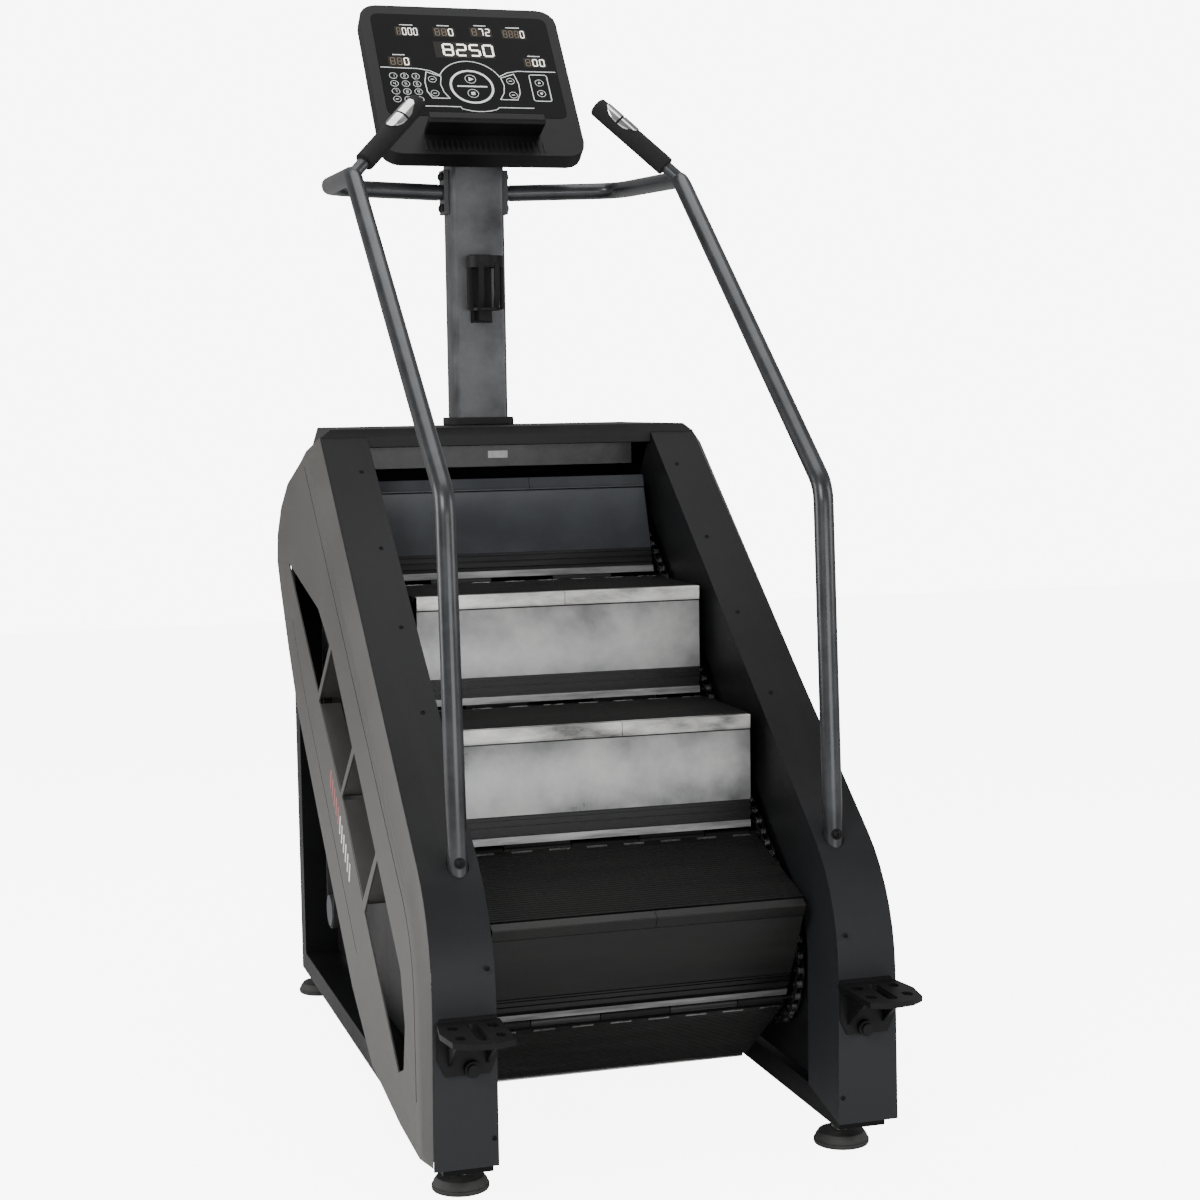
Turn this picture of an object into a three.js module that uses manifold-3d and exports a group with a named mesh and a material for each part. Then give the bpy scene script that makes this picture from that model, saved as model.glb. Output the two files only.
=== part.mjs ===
// Stair climber: an endless belt of hinged steps carried by two roller chains between two side housings,
// with a mast, a console, bent handrails and levelling feet.
// Millimetres. X runs to the user's right, Y runs away from the user, Z is up.
// The leg plates' front face is the plane Y = 0 and the floor is Z = 0 while the parts are built. At the end
// everything is moved so the object's bottom centre is at the origin.
import * as THREE from 'three';
import { mergeVertices } from 'three/addons/utils/BufferGeometryUtils.js';
import { ConvexGeometry } from 'three/addons/geometries/ConvexGeometry.js';
import Module from 'manifold-3d';

const wasm = await Module();
wasm.setup();

// ---- step belt -------------------------------------------------------------------------------------------
const CHAIN_PITCH = 25.4;
const LINKS_PER_STEP = 13;
const STEP_COUNT = 8;
const SPROCKET_TEETH = 30;
const RISE = 203.2;
const STEP_PITCH = CHAIN_PITCH * LINKS_PER_STEP;
const RUN = Math.sqrt(STEP_PITCH ** 2 - RISE ** 2);
const SLOPE = Math.atan2(RISE, RUN);
const PITCH_RADIUS = CHAIN_PITCH / (2 * Math.sin(Math.PI / SPROCKET_TEETH));
const LOOP = STEP_PITCH * STEP_COUNT;
const STRAIGHT = (LOOP - 2 * Math.PI * PITCH_RADIUS) / 2;
const BOTTOM_AXIS = [302.03, 282.12];
const TOP_AXIS = [BOTTOM_AXIS[0] + STRAIGHT * Math.cos(SLOPE), BOTTOM_AXIS[1] + STRAIGHT * Math.sin(SLOPE)];
const BELT_PHASE = 158;          // how far the lowest front pin stands above the bottom sprockets' tangent
const TREAD_HALF = 269;
const RISER_HALF = 265;
const SKIN = 8;                  // step surface above the line through its hinge pins
const TREAD_THICK = 24;
const RISER_THICK = 18;
const BARREL_R = 7.5;
const WEB = 3;                    // wall of the hollow step sections
const NOSE_DEPTH = 24;
const CHAIN_X = 287;
const CHAIN_HALF = 8;

// ---- housing and frame -----------------------------------------------------------------------------------
const INNER_X = 283;             // inner wall of the front covers
const COVER_EDGE_TOP = 371.5;    // outer edge of the front covers at the top and at the bottom
const COVER_EDGE_BOTTOM = 386;
const SIDE_X = 396;              // outer plane of the side covers
const SHEET = 3;
const INCLINE_TOP = [938.7, 1170.2];
const BEND_RADIUS = 265;
const PLATE_BOTTOM = 61;
const WALL_DEPTH = 131;
const RAIL_X = [289, 369];
const COLUMN_X = [304.4, 352];
const STUB_X = [304.4, 330];
const RAIL_Z = [48, 88];
const POST_Y = [1300, 1350];
const TUBE_WALL = 3;
const SIDE_PLATE_X = [300, 304];
const MOTOR_AXIS = [1150, 210];

// ---- rails, mast and console -----------------------------------------------------------------------------
const RAIL_PLANE_X = 316.3;
const RAIL_R = 16.7;
const RAIL_WALL = 2.6;
const GRIP_R = 19;
const MAST_HALF = [56, 38];
const MAST_Y = 1203;
const HOOD_TOP = 1183;
const CONSOLE_BOTTOM = [1083, 1716];
const CONSOLE_TOP = [1322, 2040];
const CONSOLE_HALF = 207;
const CONSOLE_DEPTH = 62;
const GAP = 0.35;                // between touching pieces

// ---- shape helpers ---------------------------------------------------------------------------------------
const X_AXIS = new THREE.Vector3(1, 0, 0);
const Y_AXIS = new THREE.Vector3(0, 1, 0);
const Z_AXIS = new THREE.Vector3(0, 0, 1);
const BASES = {
  x: new THREE.Matrix4().makeBasis(Y_AXIS, Z_AXIS, X_AXIS),
  y: new THREE.Matrix4().makeBasis(X_AXIS, Z_AXIS, Y_AXIS.clone().negate()),
  z: new THREE.Matrix4(),
};

function toManifold(geometry) {
  const plain = geometry.clone();
  plain.deleteAttribute('normal');
  plain.deleteAttribute('uv');
  const merged = mergeVertices(plain, 1e-4);
  return new wasm.Manifold(new wasm.Mesh({
    numProp: 3,
    vertProperties: Float32Array.from(merged.attributes.position.array),
    triVerts: Uint32Array.from(merged.index.array),
  }));
}

function fromManifold(solid) {
  const mesh = solid.getMesh();
  const geometry = new THREE.BufferGeometry();
  geometry.setAttribute('position', new THREE.BufferAttribute(Float32Array.from(mesh.vertProperties), 3));
  geometry.setIndex(new THREE.BufferAttribute(Uint32Array.from(mesh.triVerts), 1));
  return geometry;
}

function union(parts) {
  return fromManifold(parts.map(toManifold).reduce((whole, part) => whole.add(part)));
}

function cut(body, tools) {
  return fromManifold(tools.map(toManifold).reduce((whole, tool) => whole.subtract(tool), toManifold(body)));
}

// A box from its two corners.
function box(x0, x1, y0, y1, z0, z1) {
  return new THREE.BoxGeometry(x1 - x0, y1 - y0, z1 - z0)
    .translate((x0 + x1) / 2, (y0 + y1) / 2, (z0 + z1) / 2);
}

// A flat outline pulled along one axis. Along x the outline is (y, z), along y it is (x, z), along z (x, y).
function prism(axis, outline, from, to, holes = []) {
  const points = outline.map(([u, v]) => new THREE.Vector2(u, v));
  const shape = new THREE.Shape(THREE.ShapeUtils.isClockWise(points) ? points.reverse() : points);
  const solid = new THREE.ExtrudeGeometry(shape, { depth: to - from, bevelEnabled: false });
  solid.translate(0, 0, axis === 'y' ? -to : from);
  solid.applyMatrix4(BASES[axis]);
  return holes.length ? cut(solid, holes.map((hole) => prism(axis, hole, from - 1, to + 1))) : solid;
}

// A solid between two outlines with the same number of points, the first at the smaller X, which may
// change with height.
function loft(nearOutline, nearX, farOutline, farX) {
  const vectors = (outline) => outline.map(([y, z]) => new THREE.Vector2(y, z));
  const turned = THREE.ShapeUtils.isClockWise(vectors(nearOutline));
  const near = turned ? [...nearOutline].reverse() : nearOutline;
  const far = turned ? [...farOutline].reverse() : farOutline;
  const count = near.length;
  const positions = [];
  near.forEach(([y, z]) => positions.push(nearX(z), y, z));
  far.forEach(([y, z]) => positions.push(farX, y, z));
  const index = [];
  THREE.ShapeUtils.triangulateShape(vectors(near), []).forEach(([a, b, c]) => index.push(a, c, b));
  THREE.ShapeUtils.triangulateShape(vectors(far), [])
    .forEach(([a, b, c]) => index.push(count + a, count + b, count + c));
  for (let i = 0; i < count; i += 1) {
    const next = (i + 1) % count;
    index.push(i, next, count + next, i, count + next, count + i);
  }
  const geometry = new THREE.BufferGeometry();
  geometry.setAttribute('position', new THREE.Float32BufferAttribute(positions, 3));
  geometry.setIndex(index);
  return geometry;
}

// A cylinder whose axis runs along X, at (y, z).
function rodX(y, z, radius, x0, x1, sides = 24) {
  return new THREE.CylinderGeometry(radius, radius, x1 - x0, sides).rotateZ(-Math.PI / 2)
    .translate((x0 + x1) / 2, y, z);
}

// A cylinder between two points.
function rod(from, to, radius, sides = 16) {
  const a = new THREE.Vector3(...from);
  const along = new THREE.Vector3(...to).sub(a);
  const turn = new THREE.Quaternion().setFromUnitVectors(Y_AXIS, along.clone().normalize());
  return new THREE.CylinderGeometry(radius, radius, along.length(), sides).applyQuaternion(turn)
    .translate(...a.addScaledVector(along, 0.5).toArray());
}

// The centreline of a bent tube: straight runs joined by round bends.
function bentPath(corners, bend, steps = 4) {
  const points = [new THREE.Vector3(...corners[0])];
  for (let i = 1; i < corners.length - 1; i += 1) {
    const here = new THREE.Vector3(...corners[i]);
    const back = new THREE.Vector3(...corners[i - 1]).sub(here).normalize();
    const ahead = new THREE.Vector3(...corners[i + 1]).sub(here).normalize();
    const reach = bend / Math.tan(back.angleTo(ahead) / 2);
    const curve = new THREE.QuadraticBezierCurve3(
      here.clone().addScaledVector(back, reach), here, here.clone().addScaledVector(ahead, reach));
    points.push(...curve.getPoints(steps));
  }
  points.push(new THREE.Vector3(...corners[corners.length - 1]));
  return points;
}

// A round bar along a list of points, closed at both ends.
function sweep(points, radius, sides = 14) {
  const positions = [];
  const index = [];
  const across = new THREE.Vector3(1, 0, 0);
  const direction = new THREE.Vector3();
  points.forEach((point, i) => {
    const before = points[Math.max(i - 1, 0)];
    const after = points[Math.min(i + 1, points.length - 1)];
    direction.copy(after).sub(before).normalize();
    across.addScaledVector(direction, -across.dot(direction)).normalize();
    const other = new THREE.Vector3().crossVectors(direction, across);
    for (let j = 0; j < sides; j += 1) {
      const angle = (2 * Math.PI * j) / sides;
      const rim = point.clone().addScaledVector(across, radius * Math.cos(angle))
        .addScaledVector(other, radius * Math.sin(angle));
      positions.push(...rim.toArray());
    }
  });
  for (let i = 0; i < points.length - 1; i += 1) {
    for (let j = 0; j < sides; j += 1) {
      const a = i * sides + j;
      const b = i * sides + ((j + 1) % sides);
      index.push(a, b, b + sides, a, b + sides, a + sides);
    }
  }
  const last = (points.length - 1) * sides;
  for (let j = 1; j < sides - 1; j += 1) {
    index.push(0, j + 1, j);
    index.push(last, last + j, last + j + 1);
  }
  const geometry = new THREE.BufferGeometry();
  geometry.setAttribute('position', new THREE.Float32BufferAttribute(positions, 3));
  geometry.setIndex(index);
  return geometry;
}

// The same outline, moved inwards (positive) or outwards along its corners' bisectors.
function inset(outline, distance) {
  const count = outline.length;
  const area = THREE.ShapeUtils.area(outline.map(([u, v]) => new THREE.Vector2(u, v)));
  const side = area > 0 ? 1 : -1;
  return outline.map(([u, v], i) => {
    const [pu, pv] = outline[(i + count - 1) % count];
    const [nu, nv] = outline[(i + 1) % count];
    const a = new THREE.Vector2(u - pu, v - pv).normalize();
    const b = new THREE.Vector2(nu - u, nv - v).normalize();
    const normal = new THREE.Vector2(-(a.y + b.y), a.x + b.x).normalize().multiplyScalar(side);
    const stretch = Math.max(0.35, Math.cos(a.angleTo(b) / 2) || 1);
    return [u + (normal.x * distance) / stretch, v + (normal.y * distance) / stretch];
  });
}

function mirror(geometry) {
  const copy = geometry.clone().scale(-1, 1, 1);
  const order = copy.index ? copy.index.array : null;
  if (!order) {
    return fromManifold(toManifold(geometry).mirror([1, 0, 0]));
  }
  for (let i = 0; i < order.length; i += 3) {
    [order[i + 1], order[i + 2]] = [order[i + 2], order[i + 1]];
  }
  return copy;
}

function roundedRect(halfU, halfV, radius, steps = 3) {
  const points = [];
  [[1, 1, 0], [-1, 1, 90], [-1, -1, 180], [1, -1, 270]].forEach(([su, sv, start]) => {
    for (let i = 0; i <= steps; i += 1) {
      const angle = ((start + (90 * i) / steps) * Math.PI) / 180;
      const u = su * (halfU - radius) + radius * Math.cos(angle);
      const v = sv * (halfV - radius) + radius * Math.sin(angle);
      points.push([u, v]);
    }
  });
  return points;
}

// ---- belt geometry ---------------------------------------------------------------------------------------
const UP = [Math.cos(SLOPE), Math.sin(SLOPE)];
const OUT = [-Math.sin(SLOPE), Math.cos(SLOPE)];

// The point (y, z) that stands a distance up the belt's slope and a distance square to it from a centre.
function at(centre, along, out) {
  return [centre[0] + along * UP[0] + out * OUT[0], centre[1] + along * UP[1] + out * OUT[1]];
}

// Where a pin stands, by its distance round the loop below the front tangent of the bottom sprockets.
function pinAt(distance) {
  let s = ((distance % LOOP) + LOOP) % LOOP;
  const arc = Math.PI * PITCH_RADIUS;
  if (s <= arc) {
    const angle = s / PITCH_RADIUS;
    return at(BOTTOM_AXIS, -PITCH_RADIUS * Math.sin(angle), PITCH_RADIUS * Math.cos(angle));
  }
  s -= arc;
  if (s <= STRAIGHT) {
    return at(BOTTOM_AXIS, s, -PITCH_RADIUS);
  }
  s -= STRAIGHT;
  if (s <= arc) {
    const angle = s / PITCH_RADIUS;
    return at(TOP_AXIS, PITCH_RADIUS * Math.sin(angle), -PITCH_RADIUS * Math.cos(angle));
  }
  s -= arc;
  return at(TOP_AXIS, -s, PITCH_RADIUS);
}

// The nose of a step stands where its run and its rise meet, outside the loop.
function noseOf(upper, lower) {
  const du = lower[0] - upper[0];
  const dv = lower[1] - upper[1];
  const span = Math.hypot(du, dv);
  const along = (RUN ** 2 + span ** 2 - RISE ** 2) / (2 * span);
  const out = Math.sqrt(RUN ** 2 - along ** 2);
  return [upper[0] + (du * along + dv * out) / span, upper[1] + (dv * along - du * out) / span];
}

// Moves a piece drawn with its hinge at the origin, its nose along -Y and its outside up, onto the belt.
function placePlate(geometry, pin, nose, flip) {
  const angle = Math.atan2(nose[1] - pin[1], nose[0] - pin[0]);
  const turn = flip ? angle - Math.PI / 2 : angle - Math.PI;
  return geometry.rotateX(turn).translate(0, pin[0], pin[1]);
}

// Hinge knuckles along X: treads and risers use alternate places on the same pin.
const KNUCKLES = { tread: [[-262, -180], [-60, 60], [180, 262]], riser: [[-179, -61], [61, 179]] };

function knuckles(kind) {
  return KNUCKLES[kind].map(([x0, x1]) => rodX(0, 0, BARREL_R, x0 + 0.4, x1 - 0.4, 12));
}

function makeTread(pin, nose) {
  const front = -(RUN - NOSE_DEPTH + SKIN + 2);
  const under = SKIN - TREAD_THICK;
  const section = [[-13, SKIN], [-13, -2], [-80, under], [front + 22, under], [front, SKIN - 10],
    [front, SKIN]];
  const cells = [[-155, -82], [-228, -161]].map(([far, near]) => [
    [near, SKIN - WEB], [near, under + WEB], [far, under + WEB], [far, SKIN - WEB]]);
  const plate = prism('x', section, -TREAD_HALF, TREAD_HALF, cells);
  const webs = KNUCKLES.tread.map(([x0, x1]) => box(x0 + 0.4, x1 - 0.4, -14, 0, -3, 4));
  return placePlate(union([plate, ...webs, ...knuckles('tread')]), pin, nose, false);
}

// A riser is drawn hanging: hinge at the origin, nose up along +Z, outside towards -Y.
function makeRiser(pin, nose) {
  const back = RISER_THICK - SKIN;
  const noseBack = NOSE_DEPTH - SKIN - 8;
  const band = -SKIN - 1.5;
  const top = RISE + SKIN;
  const section = [[-SKIN, 13], [1, 13], [back, 58], [back, RISE - 16], [noseBack, RISE - 6],
    [noseBack, top - 0.3], [band, top - 0.3], [band, top - 25], [-SKIN, top - 27]];
  const cell = [[WEB - SKIN, 60], [back - WEB, 60], [back - WEB, RISE - 20], [WEB - SKIN, RISE - 20]];
  const plate = prism('x', section, -RISER_HALF, RISER_HALF, [cell]);
  const webs = KNUCKLES.riser.map(([x0, x1]) => box(x0 + 0.4, x1 - 0.4, -4, 2, 0, 14));
  const lower = union([plate, ...webs, ...knuckles('riser')]);
  return placePlate(lower, pin, nose, true);
}

// A band that follows the whole chain loop.
function makeChain(side) {
  const steps = 10;
  const outline = (radius) => {
    const points = [];
    for (let i = 0; i <= steps; i += 1) {
      const angle = (Math.PI * i) / steps;
      points.push(at(BOTTOM_AXIS, -radius * Math.sin(angle), radius * Math.cos(angle)));
    }
    for (let i = 0; i <= steps; i += 1) {
      const angle = (Math.PI * i) / steps;
      points.push(at(TOP_AXIS, radius * Math.sin(angle), -radius * Math.cos(angle)));
    }
    return points;
  };
  return prism('x', outline(PITCH_RADIUS + 8), side * CHAIN_X - CHAIN_HALF, side * CHAIN_X + CHAIN_HALF,
    [outline(PITCH_RADIUS - 8)]);
}

function makeSprocket(centre, side) {
  const x = side * CHAIN_X;
  const disc = rodX(centre[0], centre[1], PITCH_RADIUS - 9.5, x - 3.5, x + 3.5, 30);
  const hub = rodX(centre[0], centre[1], 34, x - 7.5, x + 7.5, 14);
  return cut(union([disc, hub]), [rodX(centre[0], centre[1], 15.6, x - 20, x + 20, 16)]);
}

function makeShaft(centre, half, longEnd) {
  return rodX(centre[0], centre[1], 15, -half - longEnd, half, 24);
}

// ---- frame -----------------------------------------------------------------------------------------------
// The front line of the housing, from the top of the incline down the leg, moved inwards by an offset.
function frontLine(offset, lowEnd = PLATE_BOTTOM, topBack = 0) {
  const meet = INCLINE_TOP[1] - (INCLINE_TOP[0] * RISE) / RUN;
  const half = (Math.PI / 2 - SLOPE) / 2;
  const reach = BEND_RADIUS * Math.tan(half);
  const centre = [BEND_RADIUS, meet - reach];
  const radius = BEND_RADIUS - offset;
  const points = [at(INCLINE_TOP, -topBack, -offset)];
  const steps = 7;
  for (let i = 0; i <= steps; i += 1) {
    const angle = Math.PI / 2 + SLOPE + ((Math.PI / 2 - SLOPE) * i) / steps;
    points.push([centre[0] + radius * Math.cos(angle), centre[1] + radius * Math.sin(angle)]);
  }
  points.push([offset, lowEnd]);
  return points;
}

function bar(a, b, width, x0, x1) {
  const length = Math.hypot(b[0] - a[0], b[1] - a[1]);
  const n = [(-(b[1] - a[1]) / length) * (width / 2), ((b[0] - a[0]) / length) * (width / 2)];
  return prism('x', [[a[0] + n[0], a[1] + n[1]], [a[0] - n[0], a[1] - n[1]],
    [b[0] - n[0], b[1] - n[1]], [b[0] + n[0], b[1] + n[1]]], x0, x1);
}

// The tubes of one side, each face moved in by s: floor rail, front column under the incline, top beam,
// rear post and the stub up to the mast's cross tube.
function sideTubes(s) {
  const outer = frontLine(14 + s, RAIL_Z[0] + s + 1, 30);
  const inner = frontLine(54 - s, RAIL_Z[0] + s + 1, 30);
  const column = prism('x', [...outer, ...inner.reverse()], COLUMN_X[0] + s, COLUMN_X[1] - s);
  const rail = box(RAIL_X[0] + s, RAIL_X[1] - s, 14 + s, POST_Y[1] - s, RAIL_Z[0] + s, RAIL_Z[1] - s);
  const post = box(RAIL_X[0] + s, RAIL_X[1] - s, POST_Y[0] + s, POST_Y[1] - s, RAIL_Z[0] + s, 930 - s);
  const beamStart = [940 + s, 1116];
  const beamEnd = [1326 - s, 915];
  const beam = bar(beamStart, beamEnd, 44 - 2 * s, COLUMN_X[0] + s, COLUMN_X[1] - s);
  const stub = box(STUB_X[0] + s, STUB_X[1] - s, 1175 + s, 1231 - s, 975 + s, 1150 - s);
  return [column, rail, post, beam, stub];
}

function makeFrame() {
  const cross = (s) => [
    box(-320, 320, POST_Y[0] + s, POST_Y[1] - s, RAIL_Z[0] + s, RAIL_Z[1] - s),
    box(-320, 320, POST_Y[0] + s, POST_Y[1] - s, 880 + s, 930 - s),
    box(-318, 318, 1175 + s, 1231 - s, 1110 + s, 1150 - s),
  ];
  const left = (s) => sideTubes(s).map(mirror);
  const motorShelf = box(-300, 300, MOTOR_AXIS[0] - 65, MOTOR_AXIS[0] + 65, RAIL_Z[1] - 8, RAIL_Z[1]);
  const outer = union([...sideTubes(0), ...left(0), ...cross(0), motorShelf]);
  const hollow = union([...sideTubes(TUBE_WALL), ...left(TUBE_WALL), ...cross(TUBE_WALL)]);
  const holes = FEET.map(([x, y]) => new THREE.CylinderGeometry(6.2, 6.2, 20, 24).rotateX(Math.PI / 2)
    .translate(x, y, RAIL_Z[0]));
  const socket = rod([RAIL_PLANE_X, 96.6, 468], [RAIL_PLANE_X, 102, 560], RAIL_R + 0.6, 16);
  return cut(outer, [hollow, ...holes, socket, mirror(socket)]);
}

const FEET = [[324.6, 91], [-324.6, 91], [335, 1322], [-335, 1322]];

// Rubber-covered levelling foot with its screw.
function makeFoot([x, y]) {
  const profile = [[0, 0], [46, 0], [46, 6], [40, 20], [17, 23], [15, 30], [6, 30], [6, 78], [0, 78]];
  return new THREE.LatheGeometry(profile.map(([r, z]) => new THREE.Vector2(r, z)), 20)
    .rotateX(Math.PI / 2).translate(x, y, 0);
}

// Steel side plate that closes the housing and carries the shafts' bearings.
function makeSidePlate() {
  const outline = [[70, 95], [70, 370], [150, 470], [905, 1062], [1010, 1042], [1285, 900], [1285, 95]];
  const plate = prism('x', outline, SIDE_PLATE_X[0], SIDE_PLATE_X[1]);
  const [inside, outside] = SIDE_PLATE_X;
  const bearings = [BOTTOM_AXIS, TOP_AXIS].map(([y, z]) => rodX(y, z, 42, inside - 1, outside + 14, 20));
  const bores = [BOTTOM_AXIS, TOP_AXIS].map(([y, z]) => rodX(y, z, 15.25, 280, 330, 24));
  const motorHole = rodX(MOTOR_AXIS[0], MOTOR_AXIS[1], 22, 280, 330, 16);
  return cut(union([plate, ...bearings]), [...bores, motorHole]);
}

// ---- housing ---------------------------------------------------------------------------------------------
// A block round the mast, wider than it by a margin.
function aroundMast(margin, z0, z1) {
  const [halfX, halfY] = MAST_HALF.map((half) => half + margin);
  return box(-halfX, halfX, MAST_Y - halfY, MAST_Y + halfY, z0, z1);
}

function coverEdge(z) {
  const t = (z - PLATE_BOTTOM) / (INCLINE_TOP[1] - PLATE_BOTTOM);
  return COVER_EDGE_BOTTOM + (COVER_EDGE_TOP - COVER_EDGE_BOTTOM) * t;
}

// Bent sheet with a front face and an inner wall. Its outer edge leans in towards the top.
function makeFrontCover() {
  const face = prism('x', [...frontLine(0), ...frontLine(SHEET).reverse()], INNER_X, 380);
  const inward = frontLine(WALL_DEPTH, 90).reverse();
  const wall = prism('x', [...frontLine(0), ...inward], INNER_X, INNER_X + SHEET);
  const sheet = union([face, wall]);
  const position = sheet.attributes.position;
  for (let i = 0; i < position.count; i += 1) {
    if (position.getX(i) > 379) {
      position.setX(i, coverEdge(position.getZ(i)));
    }
  }
  const railHole = rod([RAIL_PLANE_X, 96.4, 468], [RAIL_PLANE_X, 103, 580], RAIL_R + 1, 16);
  return cut(sheet, [railHole]);
}

// Rear edge of the side cover, from the top front corner round the back to the foot of the leg.
const COVER_BACK = [[775, 1173], [1032, 1128], [1203, 1080], [1300, 1027], [1360, 965], [1374, 905],
  [1339, 848], [1253, 732], [1158, 621], [819, 347], [617, 189], [442, 95], [209, 64], [60, 56]];
const WINDOWS = [
  [[1214, 914], [870, 851], [759, 794], [896, 688]],
  [[740, 789], [553, 637], [683, 534], [888, 675]],
  [[535, 630], [361, 488], [491, 378], [667, 530]],
  [[349, 478], [175, 333], [150, 250], [168, 175], [211, 157], [476, 362]],
];

function makeSideCover() {
  const front = frontLine(2, 66).reverse();
  const rim = [...front, ...COVER_BACK.slice(1)];
  const face = [...frontLine(34, 80).reverse(), ...inset(rim, 8).slice(front.length)];
  const outer = loft(rim, (z) => coverEdge(z) + 0.5, face, SIDE_X);
  const inner = loft(inset(rim, SHEET), (z) => coverEdge(z) - 3, inset(face, SHEET), SIDE_X - SHEET);
  const windows = WINDOWS.map((outline) => prism('x', outline, SIDE_X - 60, SIDE_X + 20));
  const webs = WINDOWS.slice(0, 3).map((outline, i) => {
    const a = [outline[2][0] - 10, outline[2][1] - 3];
    const b = [WINDOWS[i].at(-1)[0] - 8, WINDOWS[i].at(-1)[1] - 6];
    return bar(a, b, 4, SIDE_X - 40, SIDE_X - 1);
  });
  return union([cut(outer, [inner, ...windows]), ...webs]);
}

// Moulded hood over the top of the belt, closed at the front lip, both sides and the slope behind the mast.
function makeHood() {
  const shell = (s) => {
    const points = [];
    [-1, 1].forEach((side) => {
      points.push([side * (371 - s), 934 + s, 1148 - s * 2], [side * (371 - s), 934 + s, 1168 - s * 0.5]);
      points.push([side * (352 - s), 938 + s, HOOD_TOP - s], [side * (322 - s), 1262 - s, HOOD_TOP - s]);
      points.push([side * (371 - s), 1352 - s, 952 - s * 2], [side * (371 - s), 1352 - s, 975 - s]);
    });
    return new ConvexGeometry(points.map((point) => new THREE.Vector3(...point)));
  };
  const outer = shell(0);
  const inner = shell(SHEET).translate(0, 0, -0.01);
  const below = prism('x', [[930, 1147], [1060, 1120], [1355, 955], [1355, 800], [930, 800]], -400, 400);
  const mastHole = aroundMast(1, 1100, 1300);
  const [topY, topZ] = INCLINE_TOP;
  const underCover = [[topY - 60 * UP[0], topZ - 60 * UP[1] + 0.6], [topY + 0.8, topZ + 0.9],
    [topY + 0.8 - (WALL_DEPTH + 2) * OUT[0], topZ - WALL_DEPTH * OUT[1]], [topY - 60, topZ - 160]];
  const beneath = prism('x', underCover, INNER_X - 0.6, 400);
  return cut(outer, [inner, below, mastHole, beneath, mirror(beneath)]);
}

// ---- mast and console ------------------------------------------------------------------------------------
function makeMast() {
  const outline = roundedRect(MAST_HALF[0], MAST_HALF[1], 12).map(([x, y]) => [x, y + MAST_Y]);
  const hollow = roundedRect(MAST_HALF[0] - 3, MAST_HALF[1] - 3, 9).map(([x, y]) => [x, y + MAST_Y]);
  return prism('z', outline, 1150.3, 1750, [hollow]);
}

function makeMastTrim() {
  const outline = roundedRect(66, 48, 14).map(([x, y]) => [x, y + MAST_Y]);
  const hole = roundedRect(MAST_HALF[0] + GAP, MAST_HALF[1] + GAP, 12).map(([x, y]) => [x, y + MAST_Y]);
  return prism('z', outline, HOOD_TOP + GAP, HOOD_TOP + 16, [hole]);
}

// The console's own axes: u across, v up its face, w out of its face.
const CONSOLE_TILT = Math.atan2(CONSOLE_TOP[1] - CONSOLE_BOTTOM[1], CONSOLE_TOP[0] - CONSOLE_BOTTOM[0]);
const CONSOLE_HEIGHT = Math.hypot(CONSOLE_TOP[1] - CONSOLE_BOTTOM[1], CONSOLE_TOP[0] - CONSOLE_BOTTOM[0]);

function onConsole(geometry) {
  return geometry.rotateX(CONSOLE_TILT).translate(0, CONSOLE_BOTTOM[0], CONSOLE_BOTTOM[1]);
}

// Outline of the display panel, moved in by a gap.
function panelOutline(gap) {
  const half = CONSOLE_HEIGHT / 2;
  return roundedRect(CONSOLE_HALF - 22 - gap, half - 62 - gap, 16, 3).map(([u, v]) => [u, v + half + 38]);
}

function makeConsoleHousing() {
  const half = CONSOLE_HEIGHT / 2;
  const face = roundedRect(CONSOLE_HALF, half, 38, 4).map(([u, v]) => [u, v + half]);
  const back = roundedRect(CONSOLE_HALF - 30, half - 30, 30, 4).map(([u, v]) => [u, v + half]);
  const body = union([
    prism('z', face, -CONSOLE_DEPTH + 26, 0),
    prism('z', back, -CONSOLE_DEPTH, -CONSOLE_DEPTH + 27),
  ]);
  const neck = aroundMast(4, 1722, 1790);
  const socket = aroundMast(GAP, 1700, 1751);
  return cut(union([onConsole(cut(body, [prism('z', panelOutline(0), -6, 10)])), neck]), [socket]);
}

function makeConsolePanel() {
  return onConsole(prism('z', panelOutline(GAP), -6 + GAP, 0.5));
}

// Ledge under the display, with a low lip that holds a tablet.
function makeLedge() {
  const section = [[0.35, 52], [46, 40], [52, 46], [52, 62], [46, 62], [44, 52], [0.35, 62]];
  const swapped = section.map(([w, v]) => [v, w]);
  return onConsole(prism('x', swapped, -118, 118));
}

function makeTabletRest() {
  const section = [[64, 0.35], [92, 0.35], [92, 10], [70, 16], [64, 16]];
  return onConsole(prism('x', section, -92, 92));
}

// ---- handrails -------------------------------------------------------------------------------------------
const ELBOW = [RAIL_PLANE_X, 834, 1648.8];
const GRIP_END = [173, 909, 1794];

function makeHandrail() {
  const path = bentPath([[RAIL_PLANE_X, 97, 474], [RAIL_PLANE_X, 132.7, 1088.4], ELBOW,
    [303, 1196, 1659], [75, 1203, 1652]], 62);
  const rail = sweep(path, RAIL_R);
  const lowEnd = new THREE.Vector3(RAIL_PLANE_X, 96.7, 468);
  const bore = sweep([lowEnd, ...path.slice(1, -1)], RAIL_R - RAIL_WALL, 8);
  const stub = rod(ELBOW, [GRIP_END[0] + 8, GRIP_END[1] - 4, GRIP_END[2] - 8], 12, 12);
  const plate = box(57, 66, 1180, 1226, 1608, 1696);
  const neck = rod([60, 1203.4, 1651.6], [80, 1202.8, 1652.2], RAIL_R - 1, 14);
  return cut(union([rail, stub, neck, plate]), [bore]);
}

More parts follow.
